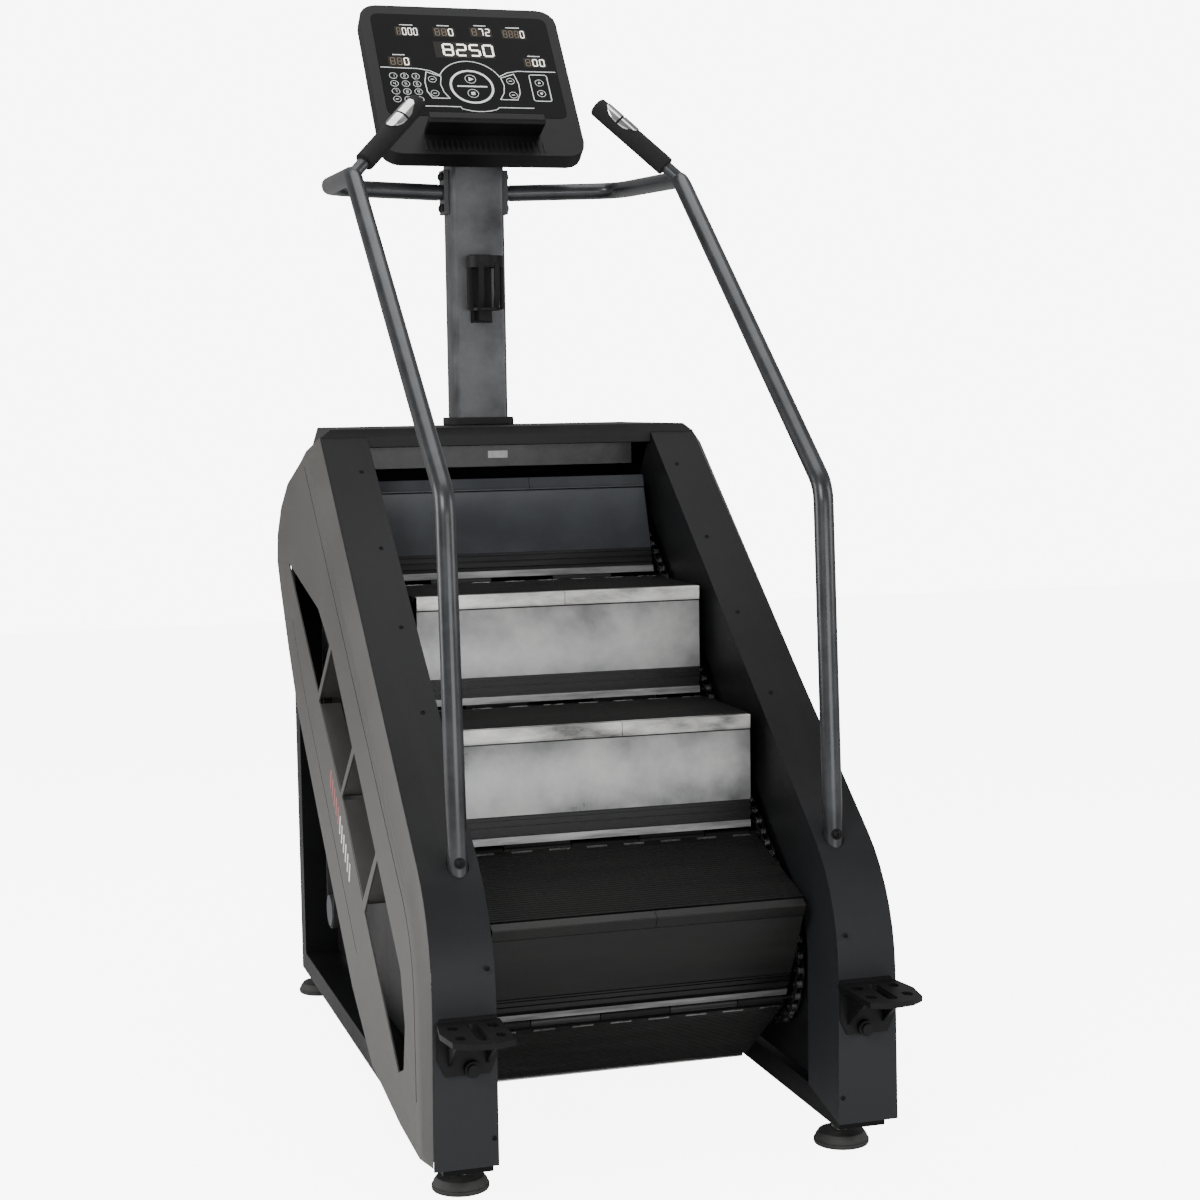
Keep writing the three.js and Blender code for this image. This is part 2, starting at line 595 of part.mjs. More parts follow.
// Foam grip: a round sleeve on the stub, closed at its free end.
function makeGrip() {
  const along = new THREE.Vector3(...GRIP_END).sub(new THREE.Vector3(...ELBOW)).normalize();
  const at = (distance) => new THREE.Vector3(...ELBOW).addScaledVector(along, distance).toArray();
  const length = new THREE.Vector3(...GRIP_END).distanceTo(new THREE.Vector3(...ELBOW));
  const sleeve = rod(at(36), at(length), GRIP_R, 20);
  const bore = rod(at(0), at(length - 9), 12.4, 12);
  const seat = pulseSolid(0.3);
  return cut(sleeve, [bore, seat]);
}

// Oval pulse plate lying on the grip's upper side.
function pulseSolid(grow) {
  const along = new THREE.Vector3(...GRIP_END).sub(new THREE.Vector3(...ELBOW)).normalize();
  const centre = new THREE.Vector3(...ELBOW).addScaledVector(along, 160);
  const up = new THREE.Vector3(0, -0.45, 0.9);
  up.addScaledVector(along, -up.dot(along)).normalize();
  const side = new THREE.Vector3().crossVectors(along, up);
  const oval = new THREE.CylinderGeometry(1, 1, 6 + grow * 2, 20)
    .scale(17 + grow, 1, 40 + grow).translate(0, 18.6, 0);
  const basis = new THREE.Matrix4().makeBasis(side, up, along.clone().negate());
  return oval.applyMatrix4(basis.setPosition(centre));
}

// ---- small fittings --------------------------------------------------------------------------------------
// Bracket on the leg plate with a slotted shelf to stand on beside the steps.
function makeFootPeg() {
  const backing = [[284, 300], [372, 300], [378, 288], [378, 236], [366, 210], [296, 210], [284, 236]];
  const plate = prism('y', backing, -5.4, -0.4);
  const rim = [[280, -5], [378, -5], [386, -60], [378, -112], [354, -130], [312, -136], [284, -124]];
  const shelf = prism('z', rim, 286, 295);
  const smallSlots = [299, 361].flatMap((x) => [-38, -92].map((y) => [x, y, 8, 12]));
  const slots = [[329, -68, 9, 46], ...smallSlots].map(([x, y, halfX, halfY]) => {
    const outline = roundedRect(halfX, halfY, 6, 1).map(([u, v]) => [u + x, v + y]);
    return prism('z', outline, 280, 300);
  });
  const gussets = [296, 356].map((x) => prism('x', [[-5, 290], [-5, 226], [-90, 290]], x, x + 6));
  const boss = new THREE.CylinderGeometry(13, 13, 12, 14).translate(325, -10, 221);
  const head = new THREE.CylinderGeometry(9, 9, 8, 12).translate(325, -18, 221);
  return union([cut(shelf, slots), plate, ...gussets, boss, head]);
}

// Ring, ribs and foot of a cage that holds a drinks bottle.
function makeBottleHolder() {
  const y = 1120;
  const disc = (radius) => roundedRect(radius, radius, radius, 6).map(([u, v]) => [u, v + y]);
  const ring = prism('z', disc(37), 1497, 1520, [disc(32)]);
  const back = box(-20, 20, 1148, 1164.6, 1389, 1525);
  const base = prism('z', disc(30), 1412, 1417);
  const bow = [[1084, 1505], [1084, 1440], [1096, 1414], [1104, 1414], [1092, 1440], [1092, 1505]];
  const ribs = [-16, 16].map((x) => prism('x', bow, x - 5, x + 5));
  const sideRibs = [-36, 31].map((x) => box(x, x + 5, 1112, 1128, 1414, 1506));
  const arms = [box(-14, 14, 1138, 1160, 1412, 1417), box(-16, 16, 1146, 1164.6, 1500, 1515)];
  const foot = box(-13, 13, 1120, 1158, 1392, 1413);
  return union([ring, base, ...ribs, ...sideRibs, ...arms, foot, back]);
}

// ---- drive -----------------------------------------------------------------------------------------------
const DRIVE_X = [-343, -325];
const DRIVE_R = 110;
const MOTOR_R = 32;

function pulley(centre, radius) {
  const disc = rodX(centre[0], centre[1], radius, DRIVE_X[0], DRIVE_X[1], 32);
  return cut(disc, [rodX(centre[0], centre[1], 15.6, -400, -300, 16)]);
}

// A flat belt round the two pulleys.
function makeDriveBelt() {
  const gap = [MOTOR_AXIS[0] - TOP_AXIS[0], MOTOR_AXIS[1] - TOP_AXIS[1]];
  const heading = Math.atan2(gap[1], gap[0]);
  const spread = Math.acos((DRIVE_R - MOTOR_R) / Math.hypot(...gap));
  const arc = (centre, radius, from, to, steps) => Array.from({ length: steps + 1 }, (_, i) => {
    const angle = from + ((to - from) * i) / steps;
    return [centre[0] + radius * Math.cos(angle), centre[1] + radius * Math.sin(angle)];
  });
  const loop = (above) => [
    ...arc(TOP_AXIS, DRIVE_R + above, heading + spread, heading + 2 * Math.PI - spread, 16),
    ...arc(MOTOR_AXIS, MOTOR_R + above, heading - spread, heading + spread, 10),
  ];
  return prism('x', loop(4.1), DRIVE_X[0] + 2, DRIVE_X[1] - 2, [loop(0.8)]);
}

function makeMotor() {
  const body = rodX(MOTOR_AXIS[0], MOTOR_AXIS[1], 78, -250, -30, 28);
  const cap = rodX(MOTOR_AXIS[0], MOTOR_AXIS[1], 60, -30, -12, 28);
  const stand = box(-240, -60, MOTOR_AXIS[0] - 60, MOTOR_AXIS[0] + 60, RAIL_Z[1] + GAP, 150);
  const nose = rodX(MOTOR_AXIS[0], MOTOR_AXIS[1], 40, -262, -249, 24);
  return union([body, cap, stand, nose]);
}

// Pulley with the shaft it turns on.
function makeMotorPulley() {
  const wheel = rodX(MOTOR_AXIS[0], MOTOR_AXIS[1], MOTOR_R, DRIVE_X[0], DRIVE_X[1], 28);
  const shaft = rodX(MOTOR_AXIS[0], MOTOR_AXIS[1], 11, -330, -262.4, 20);
  return union([wheel, shaft]);
}

// ---- assembly --------------------------------------------------------------------------------------------
const COLOURS = {
  steel_black: 0x1c1c1e, plate_grey: 0x3c3d40, plastic: 0x45433f, tube: 0x3a3c40, foam: 0x151515,
  chrome: 0xc8c8c8, gloss: 0x08080a, metal: 0x9a9b9c, tread: 0x121214, chain: 0x55585c, drive: 0x2a2d33,
};

const machine = new THREE.Group();

function add(name, geometry, slot) {
  const shaped = geometry.index ? geometry : mergeVertices(geometry);
  shaped.computeVertexNormals();
  const mesh = new THREE.Mesh(shaped, new THREE.MeshStandardMaterial({ color: COLOURS[slot], name: slot }));
  mesh.name = name;
  machine.add(mesh);
}

function addPair(name, geometry, slot) {
  add(`${name}_right`, geometry, slot);
  add(`${name}_left`, mirror(geometry), slot);
}

add('frame', makeFrame(), 'steel_black');
addPair('front_cover', makeFrontCover(), 'steel_black');
addPair('side_cover', makeSideCover(), 'plastic');
addPair('side_plate', makeSidePlate(), 'steel_black');
add('hood', makeHood(), 'steel_black');
add('hood_panel', box(-282, 282, 1057, 1060, 1102, 1146), 'plate_grey');
add('rear_panel', box(-288, 288, 1335, 1338, 200, 879.6), 'plastic');
add('mast', makeMast(), 'plate_grey');
add('mast_trim', makeMastTrim(), 'plastic');
add('bottle_holder', makeBottleHolder(), 'foam');
addPair('handrail', makeHandrail(), 'tube');
addPair('grip', makeGrip(), 'foam');
addPair('pulse_plate', pulseSolid(0), 'chrome');
add('console_housing', makeConsoleHousing(), 'plastic');
add('console_panel', makeConsolePanel(), 'gloss');
add('console_ledge', makeLedge(), 'plastic');
add('tablet_rest', makeTabletRest(), 'foam');
addPair('foot_peg', makeFootPeg(), 'foam');
['front_right', 'front_left', 'rear_right', 'rear_left'].forEach((place, i) => {
  add(`foot_${place}`, makeFoot(FEET[i]), 'foam');
});
[['left', -1], ['right', 1]].forEach(([name, side]) => {
  add(`chain_${name}`, makeChain(side), 'chain');
  add(`sprocket_bottom_${name}`, makeSprocket(BOTTOM_AXIS, side), 'chain');
  add(`sprocket_top_${name}`, makeSprocket(TOP_AXIS, side), 'chain');
});
add('shaft_bottom', makeShaft(BOTTOM_AXIS, 322, 0), 'metal');
add('shaft_top', makeShaft(TOP_AXIS, 322, 25), 'metal');
add('drive_pulley', pulley(TOP_AXIS, DRIVE_R), 'drive');
add('drive_belt', makeDriveBelt(), 'foam');
add('motor', makeMotor(), 'drive');
add('motor_pulley', makeMotorPulley(), 'drive');
for (let k = 0; k < STEP_COUNT; k += 1) {
  const upper = pinAt(-BELT_PHASE + STEP_PITCH * k);
  const lower = pinAt(-BELT_PHASE + STEP_PITCH * (k + 1));
  const nose = noseOf(upper, lower);
  add(`tread_${k}`, makeTread(upper, nose), 'tread');
  add(`riser_${k}`, makeRiser(lower, nose), 'metal');
}

const bounds = new THREE.Box3().setFromObject(machine);
const centre = bounds.getCenter(new THREE.Vector3());
machine.position.set(-centre.x, -centre.y, -bounds.min.z);

const root = new THREE.Group();
root.name = 'stair_climber';
root.add(machine);
root.updateMatrixWorld(true);

export default root;
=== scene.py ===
"""Looks of the stair climber: materials, detailed steps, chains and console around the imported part."""
import math

import bmesh
import bpy
from mathutils import Matrix, Vector


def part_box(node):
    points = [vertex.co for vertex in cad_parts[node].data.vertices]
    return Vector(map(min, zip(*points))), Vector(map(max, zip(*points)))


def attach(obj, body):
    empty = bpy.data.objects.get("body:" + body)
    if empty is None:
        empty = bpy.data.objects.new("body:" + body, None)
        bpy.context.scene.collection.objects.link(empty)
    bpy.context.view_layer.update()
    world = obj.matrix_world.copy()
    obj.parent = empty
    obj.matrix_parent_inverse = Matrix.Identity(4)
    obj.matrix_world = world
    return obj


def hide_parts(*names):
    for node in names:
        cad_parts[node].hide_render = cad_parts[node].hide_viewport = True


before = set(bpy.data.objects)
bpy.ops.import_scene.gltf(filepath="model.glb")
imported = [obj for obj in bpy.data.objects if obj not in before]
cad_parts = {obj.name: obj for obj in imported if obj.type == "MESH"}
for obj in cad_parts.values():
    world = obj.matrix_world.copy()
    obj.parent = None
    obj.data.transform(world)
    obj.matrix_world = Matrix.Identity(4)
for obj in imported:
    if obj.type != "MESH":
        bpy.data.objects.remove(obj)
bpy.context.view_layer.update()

# ---- driving dimensions, in millimetres, measured from the leg plates' front face and the floor ----
MM = 0.001
FACE_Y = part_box("front_cover_right")[0].y
CHAIN_PITCH = 25.4
LINKS_PER_STEP = 13
STEP_COUNT = 8
SPROCKET_TEETH = 30
RISE = 203.2
STEP_PITCH = CHAIN_PITCH * LINKS_PER_STEP
RUN = math.sqrt(STEP_PITCH ** 2 - RISE ** 2)
SLOPE = math.atan2(RISE, RUN)
PITCH_RADIUS = CHAIN_PITCH / (2 * math.sin(math.pi / SPROCKET_TEETH))
LOOP = STEP_PITCH * STEP_COUNT
STRAIGHT = (LOOP - 2 * math.pi * PITCH_RADIUS) / 2
UP = (math.cos(SLOPE), math.sin(SLOPE))
OUT = (-math.sin(SLOPE), math.cos(SLOPE))
BOTTOM_AXIS = (302.03, 282.12)
TOP_AXIS = (BOTTOM_AXIS[0] + STRAIGHT * UP[0], BOTTOM_AXIS[1] + STRAIGHT * UP[1])
BELT_PHASE = 158
CHAIN_X = 287
TREAD_HALF = 269
RISER_HALF = 265
INCLINE_TOP = (938.7, 1170.2)
BEND_RADIUS = 265
SIDE_X = 396
MAST_Y = 1203
CONSOLE_BOTTOM = (1083, 1716)
CONSOLE_TOP = (1322, 2040)
CONSOLE_TILT = math.atan2(CONSOLE_TOP[1] - CONSOLE_BOTTOM[1], CONSOLE_TOP[0] - CONSOLE_BOTTOM[0])
RAIL_X = 316.3
RAIL_FOOT = (97, 474)
RAIL_KNEE = (132.7, 1088.4)
BOLT_SEAT = 16.2
ELBOW = Vector((RAIL_X, 834, 1648.8))
GRIP_END = Vector((173, 909, 1794))


# ---- places ----
def place(x, y, z):
    """A point of the part, in the row frame in metres."""
    return Vector((x * MM, y * MM + FACE_Y, z * MM))


def on_belt(centre, along, out):
    """The point (y, z) up the belt's slope and square to it from a centre."""
    return (centre[0] + along * UP[0] + out * OUT[0], centre[1] + along * UP[1] + out * OUT[1])


def pin_at(distance):
    """Where a chain pin stands, by its distance round the loop from the bottom front tangent."""
    s = distance % LOOP
    arc = math.pi * PITCH_RADIUS
    if s <= arc:
        angle = s / PITCH_RADIUS
        return on_belt(BOTTOM_AXIS, -PITCH_RADIUS * math.sin(angle), PITCH_RADIUS * math.cos(angle))
    s -= arc
    if s <= STRAIGHT:
        return on_belt(BOTTOM_AXIS, s, -PITCH_RADIUS)
    s -= STRAIGHT
    if s <= arc:
        angle = s / PITCH_RADIUS
        return on_belt(TOP_AXIS, PITCH_RADIUS * math.sin(angle), -PITCH_RADIUS * math.cos(angle))
    return on_belt(TOP_AXIS, arc - s, PITCH_RADIUS)


def nose_of(upper, lower):
    """A step's nose: where its run and its rise meet outside the loop."""
    du, dv = lower[0] - upper[0], lower[1] - upper[1]
    span = math.hypot(du, dv)
    along = (RUN ** 2 + span ** 2 - RISE ** 2) / (2 * span)
    out = math.sqrt(RUN ** 2 - along ** 2)
    return (upper[0] + (du * along + dv * out) / span, upper[1] + (dv * along - du * out) / span)


def front_line(offset, low_end, steps=16):
    """The housing's front line from the top of the incline to the foot, moved inwards."""
    meet = INCLINE_TOP[1] - INCLINE_TOP[0] * RISE / RUN
    reach = BEND_RADIUS * math.tan((math.pi / 2 - SLOPE) / 2)
    centre = (BEND_RADIUS, meet - reach)
    points = [on_belt(INCLINE_TOP, 0, -offset)]
    for i in range(steps + 1):
        angle = math.pi / 2 + SLOPE + (math.pi / 2 - SLOPE) * i / steps
        radius = BEND_RADIUS - offset
        points.append((centre[0] + radius * math.cos(angle), centre[1] + radius * math.sin(angle)))
    points.append((offset, low_end))
    return points


def on_console(u, v, w):
    """A point of the console: across it, up its face and out of its face."""
    y = CONSOLE_BOTTOM[0] + v * math.cos(CONSOLE_TILT) - w * math.sin(CONSOLE_TILT)
    z = CONSOLE_BOTTOM[1] + v * math.sin(CONSOLE_TILT) + w * math.cos(CONSOLE_TILT)
    return place(u, y, z)


# ---- mesh building ----
class Shape:
    """Points and faces of one piece, with the finish of each face."""

    def __init__(self):
        self.points = []
        self.faces = []
        self.finishes = []

    def add(self, points, faces, finish=0):
        start = len(self.points)
        self.points += points
        self.faces += [[start + i for i in face] for face in faces]
        self.finishes += finish if isinstance(finish, list) else [finish] * len(faces)

    def prism(self, outline, low, high, put, finish=0):
        """An outline pulled from low to high. put turns (a, b, depth) into a point."""
        n = len(outline)
        points = [put(a, b, low) for a, b in outline] + [put(a, b, high) for a, b in outline]
        faces = [list(range(n)), list(range(n, 2 * n))]
        faces += [[i, (i + 1) % n, n + (i + 1) % n, n + i] for i in range(n)]
        finishes = [finish] * 2 + [finish] * n
        if isinstance(finish, list):
            finishes = [finish[0]] * 2 + finish
        self.add(points, faces, finishes)

    def ring(self, centre, inner, outer, low, high, put, sides=40, finish=0):
        """A flat ring with thickness."""
        points = []
        for radius, depth in ((inner, low), (outer, low), (outer, high), (inner, high)):
            for i in range(sides):
                angle = 2 * math.pi * i / sides
                a = centre[0] + radius * math.cos(angle)
                points.append(put(a, centre[1] + radius * math.sin(angle), depth))
        faces = []
        for band in range(4):
            for i in range(sides):
                j = (i + 1) % sides
                after = (band + 1) % 4
                faces.append([band * sides + i, band * sides + j, after * sides + j, after * sides + i])
        self.add(points, faces, finish)

    def loft(self, rows, finish=0):
        """Rows of equally many points, joined one after another. The two ends are closed."""
        width = len(rows[0])
        points = [point for row in rows for point in row]
        faces = [list(range(width)), list(range(len(points) - width, len(points)))]
        for k in range(len(rows) - 1):
            for i in range(width):
                j = (i + 1) % width
                faces.append([k * width + i, k * width + j, (k + 1) * width + j, (k + 1) * width + i])
        self.add(points, faces, finish)

    def turned(self, profile, origin, axis, sides=32, finish=0):
        """A profile of (height, radius) turned round an axis. The ends are closed."""
        axis = Vector(axis).normalized()
        across = axis.orthogonal().normalized()
        other = axis.cross(across)
        turns = [2 * math.pi * i / sides for i in range(sides)]
        spokes = [across * math.cos(turn) + other * math.sin(turn) for turn in turns]
        rows = [[origin + (axis * height + spoke * radius) * MM for spoke in spokes]
                for height, radius in profile]
        self.loft(rows, finish)

    def made(self, name, materials, sharp=32):
        """The shape as an object, with its faces turned outwards and smooth but for its sharp edges."""
        mesh = bpy.data.meshes.new(name)
        mesh.from_pydata(self.points, [], self.faces)
        for material in materials:
            mesh.materials.append(material)
        mesh.polygons.foreach_set("material_index", self.finishes)
        shape = bmesh.new()
        shape.from_mesh(mesh)
        bmesh.ops.recalc_face_normals(shape, faces=shape.faces)
        shape.to_mesh(mesh)
        shape.free()
        for polygon in mesh.polygons:
            polygon.use_smooth = True
        mesh.set_sharp_from_angle(angle=math.radians(sharp))
        made = bpy.data.objects.new(name, mesh)
        bpy.context.scene.collection.objects.link(made)
        return made

    def piece(self, name, body, materials, slot, sharp=32, bevel=0.0):
        """The shape as a piece of the stair climber that rides on a body."""
        made = self.made(name, materials, sharp)
        if bevel:
            soften(made, bevel)
        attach(made, body)
        return made


def soften(piece, width, segments=2):
    """Rounds the sharp edges so that they catch the light."""
    bevel = piece.modifiers.new("edges", "BEVEL")
    bevel.width = width * MM
    bevel.segments = segments
    bevel.limit_method = "ANGLE"
    bevel.angle_limit = math.radians(34)
    bevel.harden_normals = True


def x_put(y, z, x):
    """Puts an outline drawn in (y, z) at a depth along X."""
    return place(x, y, z)


def z_put(x, y, z):
    """Puts an outline drawn in (x, y) at a height."""
    return place(x, y, z)


def y_put(x, z, y):
    """Puts an outline drawn in (x, z) at a depth along Y."""
    return place(x, y, z)


def circle(centre, radius, sides):
    angles = [2 * math.pi * i / sides for i in range(sides)]
    return [(centre[0] + radius * math.cos(a), centre[1] + radius * math.sin(a)) for a in angles]


def rounded(half_u, half_v, radius, centre=(0, 0), steps=5):
    """A rectangle with round corners."""
    points = []
    for su, sv, start in ((1, 1, 0), (-1, 1, 90), (-1, -1, 180), (1, -1, 270)):
        for i in range(steps + 1):
            angle = math.radians(start + 90 * i / steps)
            u = su * (half_u - radius) + radius * math.cos(angle)
            v = sv * (half_v - radius) + radius * math.sin(angle)
            points.append((centre[0] + u, centre[1] + v))
    return points


# ---- materials ----
def joined(tree, source, target):
    tree.links.new(source, target)


def piece_coordinates(tree, stretch):
    """Coordinates fixed to the piece, stretched along its axes."""
    where = tree.nodes.new("ShaderNodeTexCoord")
    mapping = tree.nodes.new("ShaderNodeMapping")
    mapping.inputs["Scale"].default_value = stretch
    joined(tree, where.outputs["Object"], mapping.inputs["Vector"])
    return mapping.outputs["Vector"]


def noise(tree, coordinates, scale, detail, roughness=0.5):
    node = tree.nodes.new("ShaderNodeTexNoise")
    node.inputs["Scale"].default_value = scale
    node.inputs["Detail"].default_value = detail
    node.inputs["Roughness"].default_value = roughness
    joined(tree, coordinates, node.inputs["Vector"])
    return node.outputs["Fac"]


def two_colours(tree, amount, dark, light, spread):
    """Dark below the spread, light above it, and a blend between."""
    node = tree.nodes.new("ShaderNodeValToRGB")
    for element, colour, position in zip(node.color_ramp.elements, (dark, light), spread):
        element.color = (*colour, 1)
        element.position = position
    joined(tree, amount, node.inputs["Fac"])
    return node.outputs["Color"]


def remapped(tree, value, source, result):
    """A value moved from one range to another."""
    node = tree.nodes.new("ShaderNodeMapRange")
    node.inputs["From Min"].default_value, node.inputs["From Max"].default_value = source
    node.inputs["To Min"].default_value, node.inputs["To Max"].default_value = result
    joined(tree, value, node.inputs["Value"])
    return node.outputs["Result"]


def relief_normal(tree, height, strength):
    node = tree.nodes.new("ShaderNodeBump")
    node.inputs["Strength"].default_value = strength
    node.inputs["Distance"].default_value = 0.0006
    joined(tree, height, node.inputs["Height"])
    return node.outputs["Normal"]


def surface(name, dark, light, rough, metal=0.0, patch=5.0, grain=700.0, relief=0.12, coat=0.0,
            stretch=(1, 1, 1), spread=(0.35, 0.65), shine=0.5):
    """A finish whose colour and gloss follow broad noise and whose relief follows fine noise."""
    material = bpy.data.materials.new(name)
    material.use_nodes = True
    tree = material.node_tree
    shader = tree.nodes["Principled BSDF"]
    shader.inputs["Metallic"].default_value = metal
    shader.inputs["Coat Weight"].default_value = coat
    shader.inputs["Coat Roughness"].default_value = 0.12
    shader.inputs["Specular IOR Level"].default_value = shine
    coordinates = piece_coordinates(tree, stretch)
    patches = noise(tree, coordinates, patch, 7, 0.6)
    grains = noise(tree, coordinates, grain, 3)
    joined(tree, two_colours(tree, patches, dark, light, spread), shader.inputs["Base Color"])
    joined(tree, remapped(tree, patches, (0.3, 0.7), rough), shader.inputs["Roughness"])
    joined(tree, relief_normal(tree, grains, relief), shader.inputs["Normal"])
    return material


def paint_light_low(material, colour, top, bottom):
    """Turns the finish to another colour between two heights, as on the legs' lower plates: painted light,
    lighter towards the bottom.
    """
    tree = material.node_tree
    shader = tree.nodes["Principled BSDF"]
    base = shader.inputs["Base Color"].links[0].from_socket
    where = tree.nodes.new("ShaderNodeTexCoord")
    split = tree.nodes.new("ShaderNodeSeparateXYZ")
    joined(tree, where.outputs["Object"], split.inputs["Vector"])
    blend = tree.nodes.new("ShaderNodeMix")
    blend.data_type = "RGBA"
    blend.inputs["B"].default_value = (*colour, 1)
    joined(tree, remapped(tree, split.outputs["Z"], (top, bottom), (0, 1)), blend.inputs["Factor"])
    joined(tree, base, blend.inputs["A"])
    joined(tree, blend.outputs["Result"], shader.inputs["Base Color"])


def lit(name, colour, strength):
    """A display segment that glows. Lit segments are lamps; unlit ones get a faint painted glow over their
    orange colour.
    """
    material = surface(name, tuple(0.6 * c for c in colour), colour, (0.4, 0.5), patch=60)
    shader = material.node_tree.nodes["Principled BSDF"]
    shader.inputs["Emission Color"].default_value = (*colour, 1)
    shader.inputs["Emission Strength"].default_value = strength
    return material


POWDER = surface("powder_black", (0.003, 0.003, 0.003), (0.006, 0.006, 0.007), (0.42, 0.54), patch=3,
                 shine=0.1)
LEG_GREY = surface("leg_grey", (0.004, 0.004, 0.004), (0.011, 0.011, 0.012), (0.38, 0.5), patch=2.2,
                   shine=0.12)
# Painted light: the leg plates turn lighter from 0.62 m down to 0.2 m.
paint_light_low(LEG_GREY, (0.02, 0.021, 0.023), 0.62, 0.2)
PLASTIC = surface("cover_plastic", (0.034, 0.032, 0.029), (0.054, 0.051, 0.046), (0.44, 0.54), patch=3)
HOOD = surface("hood_plastic", (0.005, 0.005, 0.005), (0.01, 0.01, 0.011), (0.42, 0.54), shine=0.2)
DARK_PLASTIC = surface("dark_plastic", (0.003, 0.003, 0.003), (0.007, 0.007, 0.0075), (0.4, 0.52), patch=8,
                       shine=0.14)
MAST_GREY = surface("mast_grey", (0.03, 0.031, 0.033), (0.085, 0.087, 0.092), (0.3, 0.5), metal=0.3,
                    patch=9, relief=0.2)
PANEL_GREY = surface("panel_grey", (0.05, 0.05, 0.052), (0.1, 0.1, 0.102), (0.4, 0.52), metal=0.3, patch=14)
TUBE = surface("tube_gunmetal", (0.022, 0.023, 0.025), (0.042, 0.044, 0.048), (0.3, 0.4), metal=0.55,
               patch=12, relief=0.05, coat=0.15)
FOAM = surface("grip_foam", (0.004, 0.004, 0.004), (0.009, 0.009, 0.009), (0.7, 0.85), patch=60, grain=900,
               relief=0.5, shine=0.25)
RUBBER = surface("foot_rubber", (0.01, 0.01, 0.01), (0.03, 0.03, 0.028), (0.6, 0.8), patch=40, grain=400,
                 relief=0.35)
CHROME = surface("chrome", (0.5, 0.5, 0.5), (0.75, 0.75, 0.74), (0.1, 0.2), metal=1, patch=30, relief=0.02)
STEEL = surface("plated_steel", (0.28, 0.28, 0.28), (0.5, 0.5, 0.49), (0.22, 0.38), metal=1, patch=60)
# Chain and sprocket steel: dark steel, darkened further as painted shade for the chain lying in shade
# behind the flange's inner wall.
CHAIN = surface("chain_steel", (0.008, 0.008, 0.008), (0.04, 0.04, 0.04), (0.3, 0.5), metal=0.7, patch=50)
IRON = surface("drive_iron", (0.03, 0.032, 0.036), (0.07, 0.073, 0.08), (0.4, 0.6), metal=0.5, patch=20)
BELT = surface("drive_belt", (0.008, 0.008, 0.008), (0.02, 0.02, 0.02), (0.6, 0.75), patch=40)
GLASS = surface("panel_gloss", (0.0006, 0.0006, 0.0008), (0.0014, 0.0014, 0.0018), (0.16, 0.24), patch=12,
                relief=0.02, shine=0.05)
TREAD = surface("tread_black", (0.002, 0.002, 0.002), (0.007, 0.0065, 0.006), (0.46, 0.66), patch=7,
                stretch=(0.5, 3, 3), shine=0.16)
EXTRUSION = surface("extrusion_black", (0.002, 0.002, 0.0025), (0.008, 0.008, 0.009), (0.3, 0.45),
                    metal=0.1, patch=10, stretch=(0.3, 4, 4), shine=0.35)
BRIGHT = surface("riser_bright", (0.09, 0.092, 0.094), (0.36, 0.36, 0.355), (0.24, 0.48),
                 metal=0.6, patch=7, spread=(0.3, 0.7))
# Painted shade: darker copies of the riser metal for the risers tilted where the belt turns at the top and
# the bottom.
SHADED_BLUE_GREY = surface("riser_shaded_blue_grey", (0.018, 0.02, 0.024), (0.03, 0.033, 0.038), (0.32, 0.42), metal=0.3,
                    patch=6)
SHADED_DARK_RISER = surface("riser_shaded_dark", (0.003, 0.003, 0.003), (0.008, 0.0075, 0.007), (0.34, 0.5), patch=6,
                     stretch=(0.4, 1, 3), shine=0.25)
WORN = surface("nose_worn", (0.1, 0.1, 0.097), (0.55, 0.545, 0.53), (0.24, 0.5), metal=0.5, patch=22,
               stretch=(0.35, 1, 1), spread=(0.36, 0.66))
ALUMINIUM = surface("aluminium", (0.12, 0.12, 0.122), (0.3, 0.3, 0.305), (0.28, 0.42), metal=0.7, patch=24,
                    stretch=(0.3, 3, 3))
PRINT = surface("panel_print", (0.55, 0.56, 0.57), (0.72, 0.73, 0.74), (0.4, 0.5), patch=50)
STICKER = surface("blank_sticker", (0.6, 0.6, 0.6), (0.78, 0.78, 0.77), (0.4, 0.5), patch=90)
RED = surface("stripe_red", (0.26, 0.05, 0.05), (0.42, 0.1, 0.09), (0.42, 0.52), patch=30)
WINDOW = surface("display_window", (0.004, 0.003, 0.0015), (0.008, 0.006, 0.003), (0.3, 0.4), patch=90,
                 shine=0.1)
# Painted glow: the unlit segments keep their orange colour and glow faintly even though they are not lit.
DIM = lit("segment_dim", (0.1, 0.062, 0.025), 0.12)
GLOW = lit("segment_lit", (0.95, 0.93, 0.85), 1.6)


# ---- CAD nodes that stay ----
def smooth_group():
    """Node group that shades faces smooth and keeps the edges above an angle sharp."""
    group = bpy.data.node_groups.new("smooth_by_angle", "GeometryNodeTree")
    for direction in ("INPUT", "OUTPUT"):
        group.interface.new_socket("Geometry", in_out=direction, socket_type="NodeSocketGeometry")
    source, end = group.nodes.new("NodeGroupInput"), group.nodes.new("NodeGroupOutput")
    faces, edges = (group.nodes.new("GeometryNodeSetShadeSmooth") for _ in range(2))
    edges.domain = "EDGE"
    angle = group.nodes.new("GeometryNodeInputMeshEdgeAngle")
    below = group.nodes.new("FunctionNodeCompare")
    below.data_type = "FLOAT"
    below.operation = "LESS_THAN"
    below.inputs["B"].default_value = math.radians(30)
    group.links.new(source.outputs["Geometry"], faces.inputs["Geometry"])
    group.links.new(faces.outputs["Geometry"], edges.inputs["Geometry"])
    group.links.new(angle.outputs["Unsigned Angle"], below.inputs["A"])
    group.links.new(below.outputs["Result"], edges.inputs["Shade Smooth"])
    group.links.new(edges.outputs["Geometry"], end.inputs["Geometry"])
    return group


SMOOTH = smooth_group()


